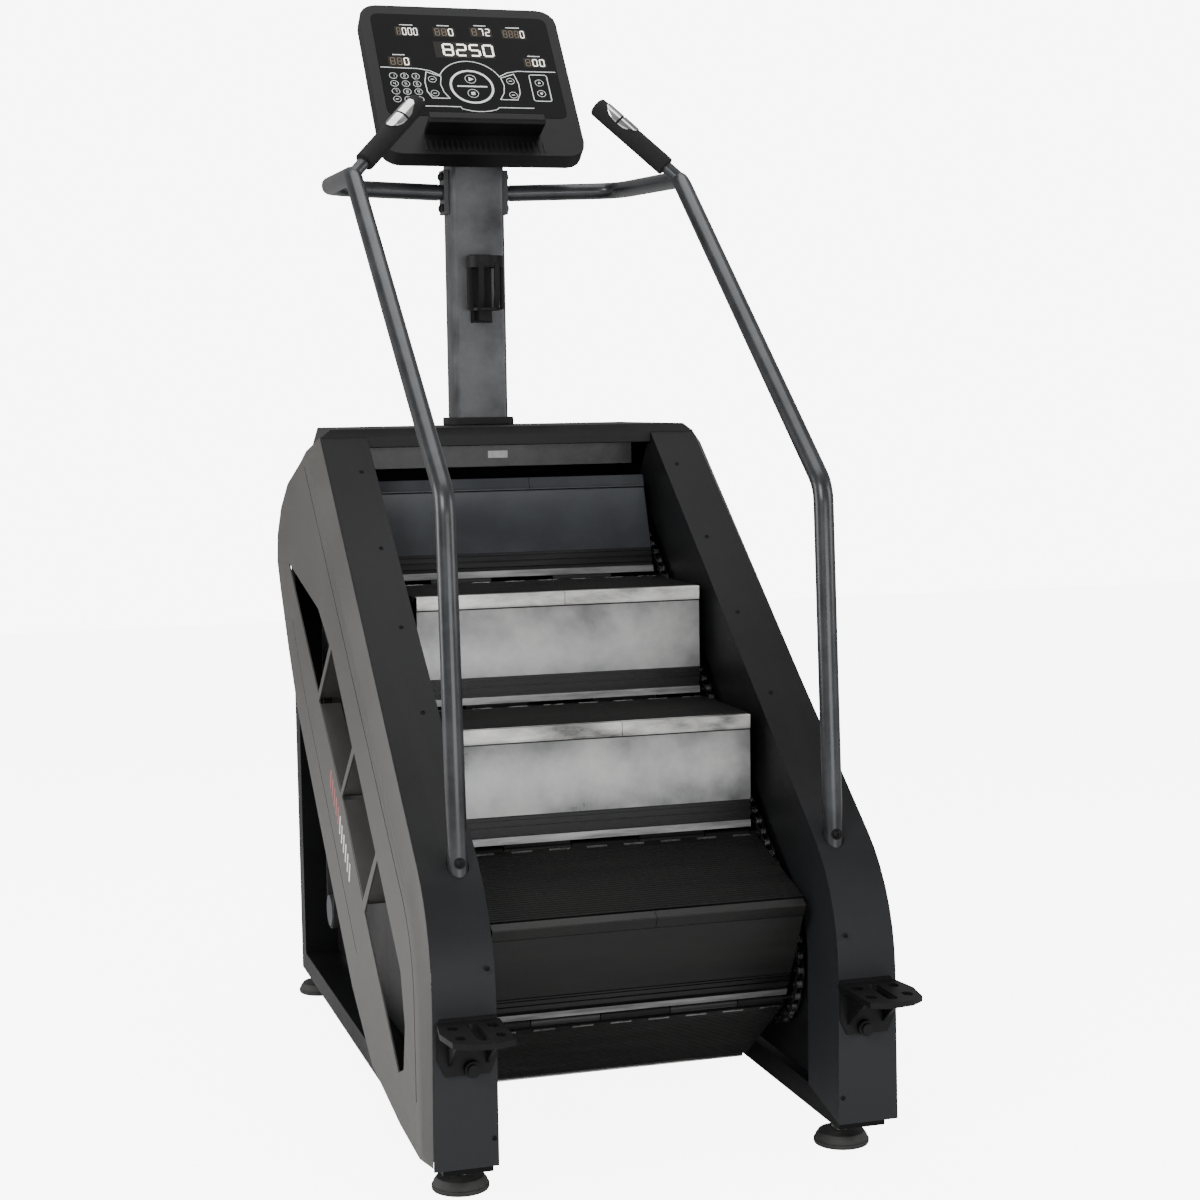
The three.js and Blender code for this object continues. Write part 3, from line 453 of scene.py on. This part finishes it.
def dress(node, material, slot, bevel=1.0, cutter=None):
    """Gives a CAD node its material, joined vertices, soft edges and, with a cutter, its grooves."""
    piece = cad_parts[node]
    piece.data.materials.clear()
    piece.data.materials.append(material)
    weld = piece.modifiers.new("joined", "WELD")
    weld.merge_threshold = 0.00001
    if cutter:
        groove = piece.modifiers.new("grooves", "BOOLEAN")
        groove.operation = "DIFFERENCE"
        groove.solver = "EXACT"
        groove.object = cutter
    shade = piece.modifiers.new("shading", "NODES")
    shade.node_group = SMOOTH
    if bevel:
        soften(piece, bevel)


FINISHES = [  # node, material, slot of the record, edge rounding in millimetres
    ("frame", POWDER, "steel_black", 1.5),
    ("hood", HOOD, "hood_plastic", 2.5),
    ("hood_panel", PANEL_GREY, "plate_grey", 0.6),
    ("rear_panel", HOOD, "hood_plastic", 0.6),
    ("mast", MAST_GREY, "plate_grey", 0),
    ("mast_trim", HOOD, "hood_plastic", 2),
    ("bottle_holder", DARK_PLASTIC, "nylon_black", 1),
    ("console_housing", DARK_PLASTIC, "hood_plastic", 5),
    ("console_panel", GLASS, "panel_gloss", 0),
    ("console_ledge", DARK_PLASTIC, "hood_plastic", 2.5),
    ("tablet_rest", DARK_PLASTIC, "rubber_black", 1.2),
    ("motor", IRON, "drive_iron", 3),
    ("motor_pulley", IRON, "drive_iron", 1),
    ("drive_pulley", IRON, "drive_iron", 1),
    ("drive_belt", BELT, "belt_rubber", 0.5),
    ("shaft_bottom", STEEL, "chain_steel", 0.6),
    ("shaft_top", STEEL, "chain_steel", 0.6),
]
PAIRED_FINISHES = [
    ("front_cover", LEG_GREY, "steel_black", 0.8),
    ("side_plate", POWDER, "steel_black", 0.8),
    ("handrail", TUBE, "tube_gunmetal", 0.8),
    ("foot_peg", DARK_PLASTIC, "nylon_black", 1.2),
]


def dress_nodes():
    for node, *finish in FINISHES:
        dress(node, *finish)
    for node, *finish in PAIRED_FINISHES:
        dress(f"{node}_right", *finish)
        dress(f"{node}_left", *finish)


# ---- side covers ----
def strip(shape, line, width, low, high, sign):
    """A band of constant width along a line in the side cover's plane."""
    above, below = [], []
    for i, (y, z) in enumerate(line):
        before, after = line[max(i - 1, 0)], line[min(i + 1, len(line) - 1)]
        length = math.hypot(after[0] - before[0], after[1] - before[1])
        dy = -(after[1] - before[1]) / length * width / 2
        dz = (after[0] - before[0]) / length * width / 2
        above.append((y + dy, z + dz))
        below.append((y - dy, z - dz))
    shape.prism(above + below[::-1], sign * low, sign * high, x_put)


SEAM = front_line(74, 150)
LOWER_SEAM = [(1180, 800), (1130, 740), (1040, 655), (800, 465), (560, 270)]
MARK_BARS = [(770 - 17 * i, 560 - 14 * i) for i in range(11)]
RED_BARS = 5
PAST_FACE = SIDE_X + 10


def mark_outline(y, z):
    """One slanted bar of the plain stripe mark on the lower strip."""
    return [(y, z), (y + 11, z + 1), (y + 23, z - 34), (y + 12, z - 35)]


def groove_tool(side, sign):
    """What is taken out of a side cover: its two seams and the beds of the bars. It isn't shown."""
    cutter = Shape()
    strip(cutter, SEAM, 4.5, SIDE_X - 2.5, PAST_FACE, sign)
    strip(cutter, LOWER_SEAM, 3.5, SIDE_X - 2, PAST_FACE, sign)
    for y, z in MARK_BARS:
        cutter.prism(mark_outline(y, z), sign * (SIDE_X - 1), sign * PAST_FACE, x_put)
    tool = cutter.piece(f"groove_tool_{side}", "base", [PLASTIC], "cover_plastic")
    tool.hide_render = True
    tool.hide_viewport = True
    return tool


def side_cover_details(side, sign):
    dress(f"side_cover_{side}", PLASTIC, "cover_plastic", 1.2, groove_tool(side, sign))
    mark = Shape()
    for i, (y, z) in enumerate(MARK_BARS):
        finish = int(i >= RED_BARS)
        mark.prism(mark_outline(y, z), sign * (SIDE_X - 1), sign * (SIDE_X - 0.2), x_put, finish)
    mark.piece(f"side_stripes_{side}", "base", [RED, PRINT], "cover_plastic")


# ---- steps ----
KNUCKLES = {"tread": ((-262, -180), (-60, 60), (180, 262)), "riser": ((-179, -61), (61, 179))}
KNUCKLE_R = 7.3
LEAVES = {"tread": [(0, 3), (14, 4), (14, -2), (0, -3)], "riser": [(0, 2), (14, 4), (14, -1), (0, -2)]}
HINGE_ROD_R = 3.6
TREAD_TOP = 7.8
RIB_PITCH = 7
TREAD_SLOTS = 8
RUN_OF_STEP = {2: "back_run", 3: "back_run", 6: "front_run", 7: "front_run"}
# Painted shade: risers 5 and 0 take darker copies of the riser metal on their panel and nose band.
SHADED_RISERS = {5: SHADED_BLUE_GREY, 0: SHADED_DARK_RISER}
PANEL, EXTRUDED, NOSE_BAND, LEDGE = range(4)
RISER_SECTION = [  # along the plate from its pin, out of it, material of the face that starts there
    (13.5, 1, EXTRUDED), (13.5, 7.8, LEDGE), (26, 7.8, EXTRUDED), (26, 3, EXTRUDED),
    (34, 3, EXTRUDED), (34, 7.4, EXTRUDED), (43, 7.4, EXTRUDED), (43, 5, EXTRUDED),
    (46, 5, EXTRUDED), (46, 7.4, EXTRUDED), (54, 7.4, EXTRUDED), (54, 5.5, EXTRUDED),
    (57, 5.5, EXTRUDED), (57, 7.8, EXTRUDED), (60, 7.8, EXTRUDED), (60, 6, EXTRUDED),
    (62, 6, EXTRUDED), (62, 7.2, PANEL), (184, 7.2, EXTRUDED), (186, 6, EXTRUDED),
    (209, 6, EXTRUDED), (209, -7.6, EXTRUDED), (197, -7.8, EXTRUDED), (187, -9.8, EXTRUDED),
    (58, -9.8, EXTRUDED), (13.5, -1, EXTRUDED),
]
NOSE_SECTION = [
    (186.5, 5.8), (186.5, 8.8), (188, 9.3), (189.2, 9.3), (189.4, 8.7), (190, 8.7), (190.2, 9.4),
    (209.4, 9.4), (210.8, 8), (210.8, -7.7), (208.8, -7.7), (208.8, 5.8),
]


def body_of(kind, k):
    """The plates of four steps ride on the straight runs, and the others turn on their own."""
    return RUN_OF_STEP.get(k, f"{kind}_{k}")


def plate_put(pin, nose, outward):
    """Puts (along the plate from its pin, out of it, X) in the row frame. outward is +1 or -1."""
    length = math.hypot(nose[0] - pin[0], nose[1] - pin[1])
    ay, az = (nose[0] - pin[0]) / length, (nose[1] - pin[1]) / length
    oy, oz = (az * outward, -ay * outward)

    def put(along, out, x):
        return place(x, pin[0] + along * ay + out * oy, pin[1] + along * az + out * oz)
    return put


def knuckles(shape, put, kind, finish):
    """Hinge barrels round a plate's pin, each with the leaf that joins it to the plate."""
    for x0, x1 in KNUCKLES[kind]:
        shape.prism(circle((0, 0), KNUCKLE_R, 18), x0 + 0.5, x1 - 0.5, put, finish)
        shape.prism(LEAVES[kind], x0 + 0.5, x1 - 0.5, put, finish)


def tread_piece(k, upper, nose):
    """Ribbed tread: ribs across, a plain strip and bright slots at the hinge."""
    put = plate_put(upper, nose, 1)
    top = [(13.5, TREAD_TOP), (34, TREAD_TOP)]
    for rib in range(34, 240, RIB_PITCH):
        top += [(rib + 0.8, 6), (rib + 2.6, 6), (rib + 3.4, TREAD_TOP), (rib + RIB_PITCH, TREAD_TOP)]
    outline = top + [(246, TREAD_TOP), (246, -2), (224, -15.8), (80, -15.8), (13.5, -2)]
    shape = Shape()
    shape.prism(outline, -TREAD_HALF + 0.2, TREAD_HALF - 0.2, put)
    knuckles(shape, put, "tread", 0)
    for i in range(TREAD_SLOTS):
        x = -236 + 66 * i
        shape.prism([(17, 7.7), (22, 7.7), (22, 8.3), (17, 8.3)], x, x + 36, put, 1)
    # The hinge rod takes the tread's black: painted shade for the gap between the knuckles, where steel
    # would otherwise show bright.
    shape.prism(circle((0, 0), HINGE_ROD_R, 12), -CHAIN_X + 9, CHAIN_X - 9, put)
    made = shape.piece(f"tread_look_{k}", body_of("tread", k), [TREAD, STEEL], "tread_black")
    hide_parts(f"tread_{k}")


def riser_piece(k, lower, nose):
    """Riser: bright ledge over the hinge, grooved extrusion, plain panel and a nose band in two lengths;
    panel and band darker on risers 0 and 5 as painted shade.
    """
    put = plate_put(lower, nose, -1)
    outline = [(along, out) for along, out, _ in RISER_SECTION]
    finishes = [finish for _, _, finish in RISER_SECTION]
    shape = Shape()
    shape.prism(outline, -RISER_HALF + 0.2, RISER_HALF - 0.2, put, finishes)
    knuckles(shape, put, "riser", EXTRUDED)
    seam = 8 + 24 * (k % 2)
    for x0, x1 in ((-RISER_HALF + 0.3, seam - 0.5), (seam + 0.5, RISER_HALF - 0.3)):
        shape.prism(NOSE_SECTION, x0, x1, put, NOSE_BAND)
    # Risers 0 and 5 get painted shade here in place of the bright panel and the worn band.
    materials = [SHADED_RISERS.get(k, BRIGHT), EXTRUSION, SHADED_RISERS.get(k, WORN), ALUMINIUM]
    made = shape.piece(f"riser_look_{k}", body_of("riser", k), materials, "riser_metal")
    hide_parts(f"riser_{k}")


def steps():
    for k in range(STEP_COUNT):
        upper = pin_at(-BELT_PHASE + STEP_PITCH * k)
        lower = pin_at(-BELT_PHASE + STEP_PITCH * (k + 1))
        nose = nose_of(upper, lower)
        tread_piece(k, upper, nose)
        riser_piece(k, lower, nose)


# ---- chains and sprockets ----
PLATE_R = 9.6
ROLLER_R = 7.2
WAIST = 0.72
INNER_PLATE, OUTER_PLATE = (4.4, 5.8), (6.2, 7.6)
ROOT_R, TIP_R, HUB_R = 113, 119, 34
TOOTH = ((-0.36, ROOT_R), (-0.17, TIP_R), (0.17, TIP_R), (0.36, ROOT_R))
WHEEL_RINGS = 6


def link_outline(a, b, radius, steps=6):
    """A side plate round two pins with a narrow waist."""
    heading = math.atan2(b[1] - a[1], b[0] - a[0])
    middle = ((a[0] + b[0]) / 2, (a[1] + b[1]) / 2)
    narrow = WAIST * radius
    points = []
    for centre, start in ((b, -90), (a, 90)):
        for i in range(steps + 1):
            angle = heading + math.radians(start + 180 * i / steps)
            points.append((centre[0] + radius * math.cos(angle), centre[1] + radius * math.sin(angle)))
        waist = heading + math.radians(start + 180)
        points.append((middle[0] + narrow * math.cos(waist), middle[1] + narrow * math.sin(waist)))
    return points


def chain_piece(side, sign):
    """The whole chain of one side, with inner and outer links by turns."""
    shape = Shape()
    count = LINKS_PER_STEP * STEP_COUNT
    pins = [pin_at(-BELT_PHASE + CHAIN_PITCH * i) for i in range(count)]
    for i, pin in enumerate(pins):
        after = pins[(i + 1) % count]
        inner, outer = (INNER_PLATE, OUTER_PLATE)[i % 2]
        for flip in (-1, 1):
            ends = sorted((sign * CHAIN_X + flip * inner, sign * CHAIN_X + flip * outer))
            shape.prism(link_outline(pin, after, PLATE_R), *ends, x_put)
        shape.prism(circle(pin, ROLLER_R, 12), sign * CHAIN_X - 4.2, sign * CHAIN_X + 4.2, x_put, 1)
        shape.prism(circle(pin, 2.6, 8), sign * CHAIN_X - 7.9, sign * CHAIN_X + 7.9, x_put, 1)
    made = shape.piece(f"chain_look_{side}", "base", [CHAIN, STEEL], "chain_steel")
    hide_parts(f"chain_{side}")


def sprocket_piece(name, body, centre, sign):
    """Toothed wheel with a hub and a circle of raised rings."""
    outline = []
    for i in range(SPROCKET_TEETH):
        for turn, radius in TOOTH:
            angle = 2 * math.pi * (i + turn) / SPROCKET_TEETH + TOOTH_PHASE[body]
            outline.append((centre[0] + radius * math.cos(angle), centre[1] + radius * math.sin(angle)))
    shape = Shape()
    shape.prism(outline, sign * CHAIN_X - 3.4, sign * CHAIN_X + 3.4, x_put)
    shape.prism(circle(centre, HUB_R, 32), sign * CHAIN_X - 7.5, sign * CHAIN_X + 7.5, x_put)
    for spot in circle(centre, 74, WHEEL_RINGS):
        shape.ring(spot, 13, 17, sign * CHAIN_X - 4.2, sign * CHAIN_X + 4.2, x_put, 20)
    made = shape.piece(f"{name}_look", body, [CHAIN], "chain_steel", bevel=0.4)
    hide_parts(name)


def tooth_phase(centre, distance):
    """Turns the teeth so that they stand between the chain's pins."""
    y, z = pin_at(-BELT_PHASE + CHAIN_PITCH * distance)
    return math.atan2(z - centre[1], y - centre[0]) + math.pi / SPROCKET_TEETH


TOOTH_PHASE = {"bottom_drive": tooth_phase(BOTTOM_AXIS, 12), "top_drive": tooth_phase(TOP_AXIS, 64)}


# ---- grips and feet ----
PULSE_AT = 160
PULSE_GAP = 2.2
PULSE_END = 38
PULSE_OVAL = (40, 17)
PULSE_R = 20.6
PULSE_INNER = 10
PAD = [(0.05, 40), (0.05, 45), (2, 46), (7, 46), (8, 44), (13, 43), (20, 38), (23, 18), (24, 12)]
NUT = [(23.5, 15), (24.5, 16), (30, 16), (31, 14.5)]
STEM = [(30.5, 5.9), (77.8, 5.9)]


def grip_line(sign):
    """Where a grip leaves the handrail's elbow, its direction and its length."""
    elbow = Vector((sign * ELBOW.x, ELBOW.y, ELBOW.z))
    end = Vector((sign * GRIP_END.x, GRIP_END.y, GRIP_END.z))
    return elbow, (end - elbow).normalized(), (end - elbow).length


def grip_piece(side, sign):
    """Foam sleeve with a round end."""
    elbow, along, length = grip_line(sign)
    profile = [(36, 14), (36.5, 17.6), (38, 18.8)]
    for degrees in range(0, 91, 15):
        angle = math.radians(degrees)
        profile.append((length - 8 + 7.5 * math.sin(angle), 11 + 7.8 * math.cos(angle)))
    grip = Shape()
    grip.turned(profile, place(*elbow), along, 40)
    made = grip.piece(f"grip_look_{side}", "base", [FOAM], "rubber_black")
    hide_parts(f"grip_{side}")


def pulse_piece(side, sign):
    """Oval pulse plate over the grip, in two halves with a gap between them."""
    elbow, along, _ = grip_line(sign)
    raised = Vector((0, -0.45, 0.9))
    raised = (raised - along * raised.dot(along)).normalized()
    across = along.cross(raised)
    rows, columns = 8, 10
    plates = Shape()
    for sense in (-1, 1):
        sections = []
        for i in range(rows + 1):
            t = sense * (PULSE_GAP + (PULSE_END - PULSE_GAP) * i / rows)
            middle = elbow + along * (PULSE_AT + t)
            reach = PULSE_OVAL[1] * math.sqrt(1 - (t / PULSE_OVAL[0]) ** 2)
            spots = [reach * (2 * j / columns - 1) for j in range(columns + 1)]
            over = [middle + across * s + raised * math.sqrt(PULSE_R ** 2 - s ** 2) for s in spots]
            under = [middle + across * s + raised * PULSE_INNER for s in reversed(spots)]
            sections.append([place(*point) for point in over + under])
        plates.loft(sections)
    made = plates.piece(f"pulse_look_{side}", "base", [CHROME], "chrome", sharp=40)
    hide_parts(f"pulse_plate_{side}")


def feet():
    """Levelling feet: a rubber pad with a nut and a threaded stem."""
    for name in ("front_right", "front_left", "rear_right", "rear_left"):
        low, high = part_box(f"foot_{name}")
        origin = Vector(((low.x + high.x) / 2, (low.y + high.y) / 2, 0))
        shape = Shape()
        shape.turned(PAD, origin, (0, 0, 1), 48)
        shape.turned(NUT, origin, (0, 0, 1), 6, 1)
        shape.turned(STEM, origin, (0, 0, 1), 20, 1)
        made = shape.piece(f"foot_look_{name}", f"foot_{name}", [RUBBER, STEEL], "rubber_black")
        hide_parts(f"foot_{name}")


# ---- screws and small pieces ----
COVER_SCREWS = ((855, 1105), (684, 976), (522, 848), (360, 720))
LEG_SCREWS = ((296, 372), (290, 105))
BRACKET_BOLTS = [(y, z) for z in (1684, 1621) for y in (1196, 1214)]
RAIL_BOLT_HEIGHTS = (520, 486)
RAIL_BOLT_AXIS = (0, -1, 0.06)


def screw(shape, spot, axis, radius, height, finish=0):
    """Domed head with a flat socket, its foot a little below the surface."""
    profile = [(-0.6, radius), (height * 0.3, radius), (height * 0.75, radius * 0.82),
               (height, radius * 0.5), (height, radius * 0.42), (height * 0.45, radius * 0.4)]
    shape.turned(profile, spot, axis, 20, finish)


def on_incline(y, z):
    """The point of the incline's front face nearest to (y, z)."""
    shift = (z - (INCLINE_TOP[1] + (y - INCLINE_TOP[0]) * RISE / RUN)) * math.cos(SLOPE)
    return (y - shift * OUT[0], z - shift * OUT[1])


def cover_screws():
    heads = Shape()
    for sign in (-1, 1):
        for y, z in COVER_SCREWS:
            screw(heads, place(sign * 310, *on_incline(y, z)), (0, OUT[0], OUT[1]), 4.2, 2)
        for x, z in LEG_SCREWS:
            screw(heads, place(sign * x, 0, z), (0, -1, 0), 4, 2)
    heads.piece("cover_screws", "base", [POWDER], "steel_black")


def rail_bolts():
    """Bolts of the handrails: four through each mast bracket and two with washers at each foot."""
    bolts = Shape()
    lean = (RAIL_KNEE[0] - RAIL_FOOT[0]) / (RAIL_KNEE[1] - RAIL_FOOT[1])
    for sign in (-1, 1):
        for y, z in BRACKET_BOLTS:
            screw(bolts, place(sign * 66, y, z), (sign, 0, 0), 8, 5)
        for z in RAIL_BOLT_HEIGHTS:
            spot = place(sign * RAIL_X, RAIL_FOOT[0] + (z - RAIL_FOOT[1]) * lean - BOLT_SEAT, z)
            screw(bolts, spot, RAIL_BOLT_AXIS, 7, 4.5)
            bolts.turned([(-0.5, 9.5), (1, 9.3)], spot, RAIL_BOLT_AXIS, 24)
    bolts.piece("rail_bolts", "base", [DARK_PLASTIC], "steel_black")


def hood_sticker():
    sticker = Shape()
    sticker.prism(rounded(20, 7, 1, (3, 1126)), 1056.6, 1057.05, y_put)
    sticker.piece("hood_sticker", "base", [STICKER], "plate_grey")


# ---- console ----
SEGMENTS = {
    "0": "abcdef", "1": "bc", "2": "abged", "3": "abgcd", "4": "fgbc",
    "5": "afgcd", "6": "afgedc", "7": "abc", "8": "abcdefg", "9": "abcdfg",
}
LOW, HIGH, THIN, WINDOW_TOP = 0.4, 0.9, 0.8, 0.6
DISPLAYS = [  # left end, right end, height up the panel, unlit digits, lit digits
    (-137, -91, 330, 1, "000"),
    (-58, -16, 331, 2, "0"),
    (20, 62, 334, 1, "72"),
    (86, 134, 331, 3, "0"),
    (-162, -120, 246, 2, "0"),
    (120, 164, 252, 1, "00"),
]
DIGIT_HEIGHT = 20
PANEL_MIDDLE = -2
KEYPAD = "123456789-0-"
PRINT_HALF = 0.9


def bar(shape, u, v, half_u, half_v, finish, top=HIGH):
    """A flat rectangle on the panel."""
    left, right = u - half_u, u + half_u
    bottom, over = v - half_v, v + half_v
    outline = [(left, bottom), (right, bottom), (right, over), (left, over)]
    shape.prism(outline, LOW, top, on_console, finish)


def digit(shape, character, u, v, width, height, finish):
    """Seven-segment digit centred on (u, v)."""
    thick = width * 0.085
    half_w, half_h = width / 2 - thick, height / 2 - thick
    spots = {
        "a": (0, half_h, True), "g": (0, 0, True), "d": (0, -half_h, True),
        "f": (-half_w, half_h / 2, False), "b": (half_w, half_h / 2, False),
        "e": (-half_w, -half_h / 2, False), "c": (half_w, -half_h / 2, False),
    }
    for letter in SEGMENTS[character]:
        du, dv, flat = spots[letter]
        size = (half_w * 0.86, thick) if flat else (thick, half_h / 2 * 0.86)
        bar(shape, u + du, v + dv, *size, finish)


def display(windows, digits, u0, u1, v, dim, shown):
    """A window of digits with a bar over it: unlit digits first, then the lit ones."""
    middle, width = (u0 + u1) / 2, u1 - u0
    bar(windows, middle, v, width / 2 + 2, DIGIT_HEIGHT / 2 + 3, 0, WINDOW_TOP)
    characters = "8" * dim + shown
    pitch = width / len(characters)
    for i, character in enumerate(characters):
        digit(digits, character, u0 + pitch * (i + 0.5), v, pitch * 0.72, DIGIT_HEIGHT, int(i >= dim))
    bar(digits, middle, v + DIGIT_HEIGHT / 2 + 8, width * 0.3, 1, 2)


def line(shape, points, half=PRINT_HALF):
    """A printed line of constant width through points."""
    for (u0, v0), (u1, v1) in zip(points, points[1:]):
        length = math.hypot(u1 - u0, v1 - v0)
        nu, nv = -(v1 - v0) / length * half, (u1 - u0) / length * half
        du, dv = nv * 0.6, -nu * 0.6
        corners = [(u0 - du + nu, v0 - dv + nv), (u0 - du - nu, v0 - dv - nv),
                   (u1 + du - nu, v1 + dv - nv), (u1 + du + nu, v1 + dv + nv)]
        shape.prism(corners, LOW, THIN, on_console)


def arc(centre, radius_u, radius_v, start, end, steps=16):
    angles = [math.radians(start + (end - start) * i / steps) for i in range(steps + 1)]
    return [(centre[0] + radius_u * math.cos(a), centre[1] + radius_v * math.sin(a)) for a in angles]


def key(shape, u, v, radius):
    shape.ring((u, v), radius - 0.9, radius, LOW, THIN, on_console, 28)


def zone_lines(shape):
    """Lines that part the panel's zones, bowed round the middle keys."""
    line(shape, [(-182, 229), (-105, 227), (-82, 222), (-63, 210)])
    line(shape, arc((PANEL_MIDDLE, 181), 68, 70, 154, 26))
    line(shape, [(59, 210), (78, 222), (100, 227), (180, 227)])
    line(shape, [(-112, 126), (-34, 126), *arc((5, 150), 62, 36, 235, 305, 8), (46, 126), (118, 126)])


def middle_keys(shape):
    """Start over stop, in one ring."""
    shape.ring((PANEL_MIDDLE, 181), 41, 45.5, LOW, 0.85, on_console, 56)
    line(shape, [(-31, 182), (29, 182)], 1.6)
    for v in (202, 163):
        key(shape, PANEL_MIDDLE, v, 11.5)
    shape.prism([(-5.5, 196.5), (-5.5, 207.5), (4.5, 202)], LOW, THIN, on_console)
    bar(shape, PANEL_MIDDLE, 163, 4, 4, 0, THIN)


def side_keys(shape):
    """Two keys in a bowed frame on each side of the middle ones."""
    for sign in (-1, 1):
        inner = [(sign * 62, 207), (sign * 66, 186), (sign * 62, 165), (sign * 52, 148)]
        outer = [(sign * 88, 148), (sign * 96, 166), (sign * 97, 192), (sign * 91, 219)]
        line(shape, [*inner, *outer, inner[0]])
        for v in (199, 161):
            key(shape, sign * 81, v, 8.5)
            bar(shape, sign * 81, v, 3.4, 0.8, 0, THIN)


def arrow_keys(shape):
    outline = rounded(18.5, 36, 5, (141, 182), 3)
    line(shape, [*outline, outline[0]])
    for v, turn in ((196, 1), (167, -1)):
        key(shape, 141, v, 9)
        arrow = [(137.5, v - 2 * turn), (144.5, v - 2 * turn), (141, v + 4 * turn)]
        shape.prism(arrow, LOW, THIN, on_console)


def keypad(shape):
    for i, character in enumerate(KEYPAD):
        u, v = -160 + 23 * (i % 3), 206 - 21 * (i // 3)
        key(shape, u, v, 8.2)
        if character == "-":
            bar(shape, u, v, 3, 0.9, 0, THIN)
        else:
            digit(shape, character, u, v, 4.6, 7.4, 0)


def panel_print():
    shape = Shape()
    for printed in (zone_lines, middle_keys, side_keys, arrow_keys, keypad):
        printed(shape)
    shape.piece("panel_print", "base", [PRINT], "panel_gloss")


def displays():
    """Six small windows of digits and the message window, which shows digits only."""
    windows, digits = Shape(), Shape()
    for ends_and_digits in DISPLAYS:
        display(windows, digits, *ends_and_digits)
    bar(windows, PANEL_MIDDLE, 282, 62, 22, 0, WINDOW_TOP)
    for i, character in enumerate("8250"):
        digit(digits, character, -36 + 28 * i, 282, 23, 34, 1)
    windows.piece("display_windows", "base", [WINDOW], "panel_gloss")
    digits.piece("display_digits", "base", [DIM, GLOW, PRINT], "panel_gloss")


def console_vents():
    vents = Shape()
    for i in range(23):
        bar(vents, -121 + 11 * i, 22, 1.6, 13, 0, 1.6)
    vents.piece("console_vents", "base", [HOOD], "hood_plastic", bevel=0.5)


# ---- surroundings ----
BACKDROP = 8.0
AMBIENT = 0.36
FLOOR_LIFT = 7.0
LIGHTS = [  # name, place, what it is aimed at, size, power
    ("key", (-3.2, -3.6, 3.4), (0, 0, 0.9), (2.2, 2.2), 190),
    ("fill", (3.6, -2.4, 2.2), (0, 0, 0.8), (2, 2.4), 80),
    ("front_low", (0.2, -4.4, 1.0), (0, 0, 0.7), (2.4, 1.2), 60),
    ("top", (0, 0.3, 4.2), (0, 0, 0), (3, 3), 90),
    ("side", (-4, 1.2, 1.6), (0, 0.2, 0.8), (2, 2.4), 100),
]


def floor():
    slab = Shape()
    slab.prism([(-9000, -9000), (9000, -9000), (9000, 9000), (-9000, 9000)], -60, -0.5, z_put)
    ground = surface("studio_floor", (0.86, 0.86, 0.86), (0.9, 0.9, 0.9), (0.6, 0.7), patch=2, shine=0.1)
    brighten(ground, FLOOR_LIFT)
    slab.made("studio_floor", [ground])


def brighten(material, strength):
    """Lifts the floor to the backdrop's white where the camera sees it, without lighting the object."""
    nodes, links = material.node_tree.nodes, material.node_tree.links
    shader = nodes["Principled BSDF"]
    shader.inputs["Emission Color"].default_value = (1, 1, 1, 1)
    seen = nodes.new("ShaderNodeLightPath")
    amount = nodes.new("ShaderNodeMath")
    amount.operation = "MULTIPLY"
    amount.inputs[1].default_value = strength
    links.new(seen.outputs["Is Camera Ray"], amount.inputs[0])
    links.new(amount.outputs["Value"], shader.inputs["Emission Strength"])


def area_light(name, location, target, size, power):
    data = bpy.data.lights.new(name, "AREA")
    data.shape = "RECTANGLE"
    data.size, data.size_y = size
    data.energy = power
    made = bpy.data.objects.new(name, data)
    made.location = location
    made.rotation_euler = (Vector(target) - Vector(location)).to_track_quat("-Z", "Y").to_euler()
    bpy.context.scene.collection.objects.link(made)


def lights():
    for light in LIGHTS:
        area_light(*light)


def backdrop():
    """White where the camera sees it, dimmer as light on the object."""
    world = bpy.data.worlds.new("studio")
    bpy.context.scene.world = world
    world.use_nodes = True
    nodes, links = world.node_tree.nodes, world.node_tree.links
    background = nodes["Background"]
    background.inputs["Color"].default_value = (1, 1, 1, 1)
    seen = nodes.new("ShaderNodeLightPath")
    strength = nodes.new("ShaderNodeMapRange")
    strength.inputs["To Min"].default_value = AMBIENT
    strength.inputs["To Max"].default_value = BACKDROP
    links.new(seen.outputs["Is Camera Ray"], strength.inputs["Value"])
    links.new(strength.outputs["Result"], background.inputs["Strength"])


CAMERA_AT = (-1.0803, -3.8531, 1.2480)
CAMERA_YAW = math.radians(-16.745)
CAMERA_PITCH = math.radians(-5.380)
CAMERA_ROLL = math.radians(-0.878)
CAMERA_LENS = 66.56


def camera():
    """The camera that took the photo, as fitted to it."""
    ahead = Vector((-math.sin(CAMERA_YAW) * math.cos(CAMERA_PITCH),
                    math.cos(CAMERA_YAW) * math.cos(CAMERA_PITCH), math.sin(CAMERA_PITCH)))
    level = Vector((math.cos(CAMERA_YAW), math.sin(CAMERA_YAW), 0))
    above = level.cross(ahead)
    right = level * math.cos(CAMERA_ROLL) + above * math.sin(CAMERA_ROLL)
    over = above * math.cos(CAMERA_ROLL) - level * math.sin(CAMERA_ROLL)
    data = bpy.data.cameras.new("camera")
    data.sensor_width = 36
    data.lens = CAMERA_LENS
    made = bpy.data.objects.new("camera", data)
    turn = Matrix((right, over, -ahead)).transposed().to_4x4()
    made.matrix_world = Matrix.Translation(CAMERA_AT) @ turn
    bpy.context.scene.collection.objects.link(made)
    bpy.context.scene.camera = made


# ---- assembly ----
dress_nodes()
for side, sign in (("right", 1), ("left", -1)):
    side_cover_details(side, sign)
    chain_piece(side, sign)
    sprocket_piece(f"sprocket_bottom_{side}", "bottom_drive", BOTTOM_AXIS, sign)
    sprocket_piece(f"sprocket_top_{side}", "top_drive", TOP_AXIS, sign)
    grip_piece(side, sign)
    pulse_piece(side, sign)
steps()
feet()
cover_screws()
rail_bolts()
hood_sticker()
displays()
panel_print()
console_vents()
floor()
lights()
backdrop()
camera()
